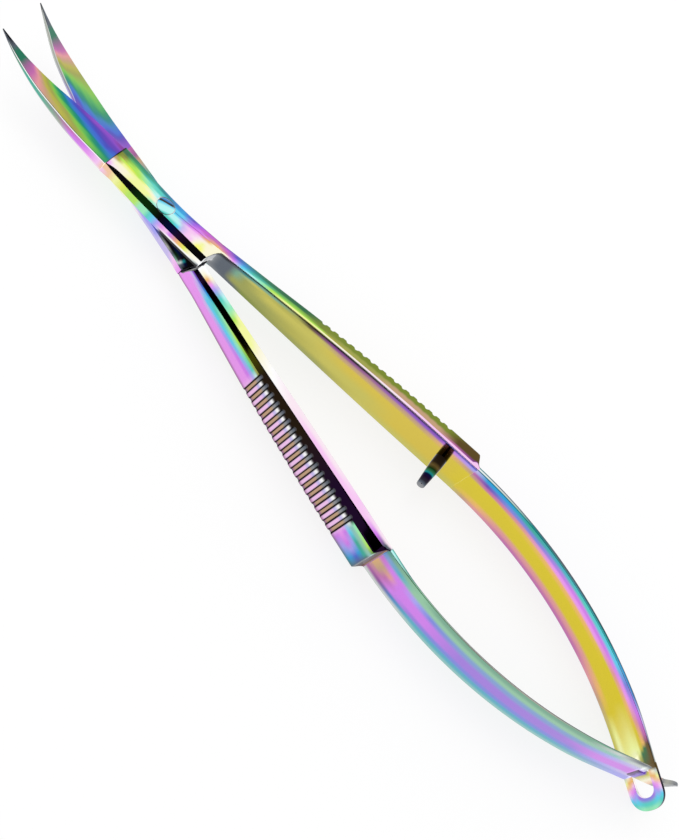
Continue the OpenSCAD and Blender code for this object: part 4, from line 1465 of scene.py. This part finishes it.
def bore_out(piece):
    """Cuts the bore for the screw's head out of the front joint half: a temporary round cutter,
    applied once as a Boolean and removed."""
    hole = turned(
        (0, 0, 0), (0, 0, 1), (1, 0, 0), (0, 1, 0), [(HEAD_Z - 0.02, BORE_R), (2 * TOP_Z, BORE_R)], 96)
    cutter = make_piece("bore cutter", [hole], ["bore"])
    mod = piece.modifiers.new("bore", "BOOLEAN")
    mod.operation = "DIFFERENCE"
    mod.solver = "EXACT"
    mod.object = cutter
    mod.material_mode = "TRANSFER"
    bpy.context.view_layer.update()
    whole = piece.evaluated_get(bpy.context.evaluated_depsgraph_get())
    cut = bpy.data.meshes.new_from_object(whole)
    piece.modifiers.remove(mod)
    piece.data = cut
    cut.polygons.foreach_set("use_smooth", np.ones(len(cut.polygons), bool))
    cut.set_sharp_from_angle(angle=math.radians(CRISP))
    bpy.data.objects.remove(cutter)


# share of the paper's own glow where it is seen directly or in a reflection
PAPER_GLOW = 0.8

# camera: its place in metres, its azimuth, elevation and roll in degrees, and its lens in mm
CAMERA_PLACE = (0.02773, -0.13694, 0.26583)
CAMERA_TURN = (-2.69485, 62.50824, 51.89318)
CAMERA_LENS = 101.93

# the stage, in metres: middle of the snips, paper, dark card, and the lamp with its direction
MIDDLE = (0.034, 0, 0.002)
PAPER_R = 1.2
CARD_OFF = 0.6
LAMP_OFF = 0.7
LAMP_SIZE = 0.5
LAMP_FROM = (-0.35, 0.35, 0.87)


def camera_axes():
    """Right, up and backward directions of the camera from its azimuth, elevation and roll."""
    a, e, r = (math.radians(v) for v in CAMERA_TURN)
    back = np.array([math.sin(a) * math.cos(e), -math.cos(a) * math.cos(e), math.sin(e)])
    right = np.array([math.cos(a), math.sin(a), 0])
    up = np.cross(back, right)
    return math.cos(r) * right + math.sin(r) * up, -math.sin(r) * right + math.cos(r) * up, back


def facing(place, right, up, back):
    """A 4x4 whose axes are right, up and back, at a place."""
    m = np.eye(4)
    m[:3, 0], m[:3, 1], m[:3, 2], m[:3, 3] = right, up, back, place
    return Matrix(m.tolist())


class SNIPS_OT_stage(Operator):
    """Sets up the paper, the white surround, the lamp, the dark card and the camera"""

    bl_idname = "snips.stage"
    bl_label = "Stage"

    def execute(self, context):
        scene = context.scene
        settings = scene.snips_stage
        right, up, back = camera_axes()
        lens = bpy.data.cameras.new("camera")
        lens.lens = CAMERA_LENS
        lens.sensor_width = 36
        camera = bpy.data.objects.new("camera", lens)
        camera.matrix_world = facing(CAMERA_PLACE, right, up, back)
        scene.collection.objects.link(camera)
        scene.camera = camera
        white_surround(scene)
        middle = np.array(MIDDLE)
        paper = flat_sheet(
            "paper", PAPER_R, facing((MIDDLE[0], 0, TABLE_Z * MM), (1, 0, 0), (0, 1, 0), (0, 0, 1)))
        paper.data.materials.append(paper_finish(settings.paper))
        card = flat_sheet("dark card", settings.card, facing(middle + CARD_OFF * back, right, up, back))
        card.data.materials.append(card_finish())
        card.visible_camera = card.visible_diffuse = card.visible_shadow = card.visible_transmission = False
        lamp_data = bpy.data.lights.new("soft lamp", "AREA")
        lamp_data.shape = "DISK"
        lamp_data.size = LAMP_SIZE
        lamp_data.energy = settings.lamp
        lamp = bpy.data.objects.new("soft lamp", lamp_data)
        aim = np.array(LAMP_FROM)
        aim /= np.linalg.norm(aim)
        side = np.cross((0, 1, 0), aim)
        side /= np.linalg.norm(side)
        lamp.matrix_world = facing(middle + LAMP_OFF * aim, side, np.cross(aim, side), aim)
        lamp.visible_glossy = False
        scene.collection.objects.link(lamp)
        scene.view_settings.view_transform = "Standard"
        return {"FINISHED"}


def white_surround(scene):
    """A white world, a little dimmer as light for the paper than as a reflection."""
    world = scene.world or bpy.data.worlds.new("surround")
    scene.world = world
    world.use_nodes = True
    tree = world.node_tree
    tree.nodes.clear()
    rays = add(tree, "LightPath").outputs
    seen = maths(tree, "MAXIMUM", rays["Is Camera Ray"], rays["Is Glossy Ray"])
    level = add(tree, "MapRange", {"To Min": 0.9, "To Max": 1.0, "Value": seen})
    glow = add(tree, "Background", {"Color": (1, 1, 1, 1), "Strength": level.outputs[0]})
    add(tree, "OutputWorld", {"Surface": glow.outputs[0]})


def flat_sheet(name, radius, matrix):
    """A disc of 96 sides at a place."""
    t = np.arange(96) / 96 * 2 * math.pi
    points = np.column_stack([radius * np.cos(t), radius * np.sin(t), np.zeros(96)])
    mesh = bpy.data.meshes.new(name)
    mesh.from_pydata(points.tolist(), [], [list(range(96))])
    mesh.transform(matrix)
    sheet = bpy.data.objects.new(name, mesh)
    bpy.context.scene.collection.objects.link(sheet)
    return sheet


def paper_finish(colour):
    """White paper. To the camera and in reflections it glows nearly white by itself, and the
    rest of its light is what falls on it, so that it still takes a faint shadow."""
    made = bpy.data.materials.new("paper")
    made.use_nodes = True
    tree = made.node_tree
    shader = tree.nodes["Principled BSDF"]
    shader.inputs["Roughness"].default_value = 1
    shader.inputs["Specular IOR Level"].default_value = 0
    shader.inputs["Emission Color"].default_value = (1, 1, 1, 1)
    rays = add(tree, "LightPath").outputs
    seen = maths(tree, "MAXIMUM", rays["Is Camera Ray"], rays["Is Glossy Ray"])
    tree.links.new(maths(tree, "MULTIPLY", seen, PAPER_GLOW), shader.inputs["Emission Strength"])
    dim = (*(c * (1 - PAPER_GLOW) for c in colour), 1)
    tree.links.new(mixed(tree, seen, (*colour, 1), dim), shader.inputs["Base Color"])
    return made


def card_finish():
    """Black card."""
    made = bpy.data.materials.new("dark card")
    made.use_nodes = True
    shader = made.node_tree.nodes["Principled BSDF"]
    shader.inputs["Base Color"].default_value = (0.004, 0.003, 0.004, 1)
    shader.inputs["Roughness"].default_value = 1
    shader.inputs["Specular IOR Level"].default_value = 0
    return made


class SNIPS_PT_panel(Panel):
    """Lists the pieces and the settings"""

    bl_idname = "SNIPS_PT_panel"
    bl_label = "Rainbow squeeze snips"
    bl_space_type = "VIEW_3D"
    bl_region_type = "UI"
    bl_category = "Snips"

    def draw(self, context):
        layout = self.layout
        for operator in OPERATORS:
            layout.operator(operator.bl_idname)
        for settings in (context.scene.snips_shape, context.scene.snips_finish, context.scene.snips_stage):
            box = layout.box()
            for key in type(settings).__annotations__:
                box.prop(settings, key)


OPERATORS = (
    SNIPS_OT_blades,
    SNIPS_OT_joint,
    SNIPS_OT_grips,
    SNIPS_OT_springs,
    SNIPS_OT_fittings,
    SNIPS_OT_stage,
)
SETTINGS = {"snips_shape": SnipsShape, "snips_finish": SnipsFinish, "snips_stage": SnipsStage}


def register():
    for made in (*SETTINGS.values(), *OPERATORS, SNIPS_PT_panel):
        bpy.utils.register_class(made)
    for name, kind in SETTINGS.items():
        setattr(bpy.types.Scene, name, PointerProperty(type=kind))


def unregister():
    for name in SETTINGS:
        delattr(bpy.types.Scene, name)
    for made in reversed((*SETTINGS.values(), *OPERATORS, SNIPS_PT_panel)):
        bpy.utils.unregister_class(made)


def main():
    """Registers the add-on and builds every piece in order."""
    register()
    bpy.ops.snips.blades()
    bpy.ops.snips.joint()
    bpy.ops.snips.grips()
    bpy.ops.snips.springs()
    bpy.ops.snips.fittings()
    bpy.ops.snips.stage()


if __name__ == "__main__":
    main()
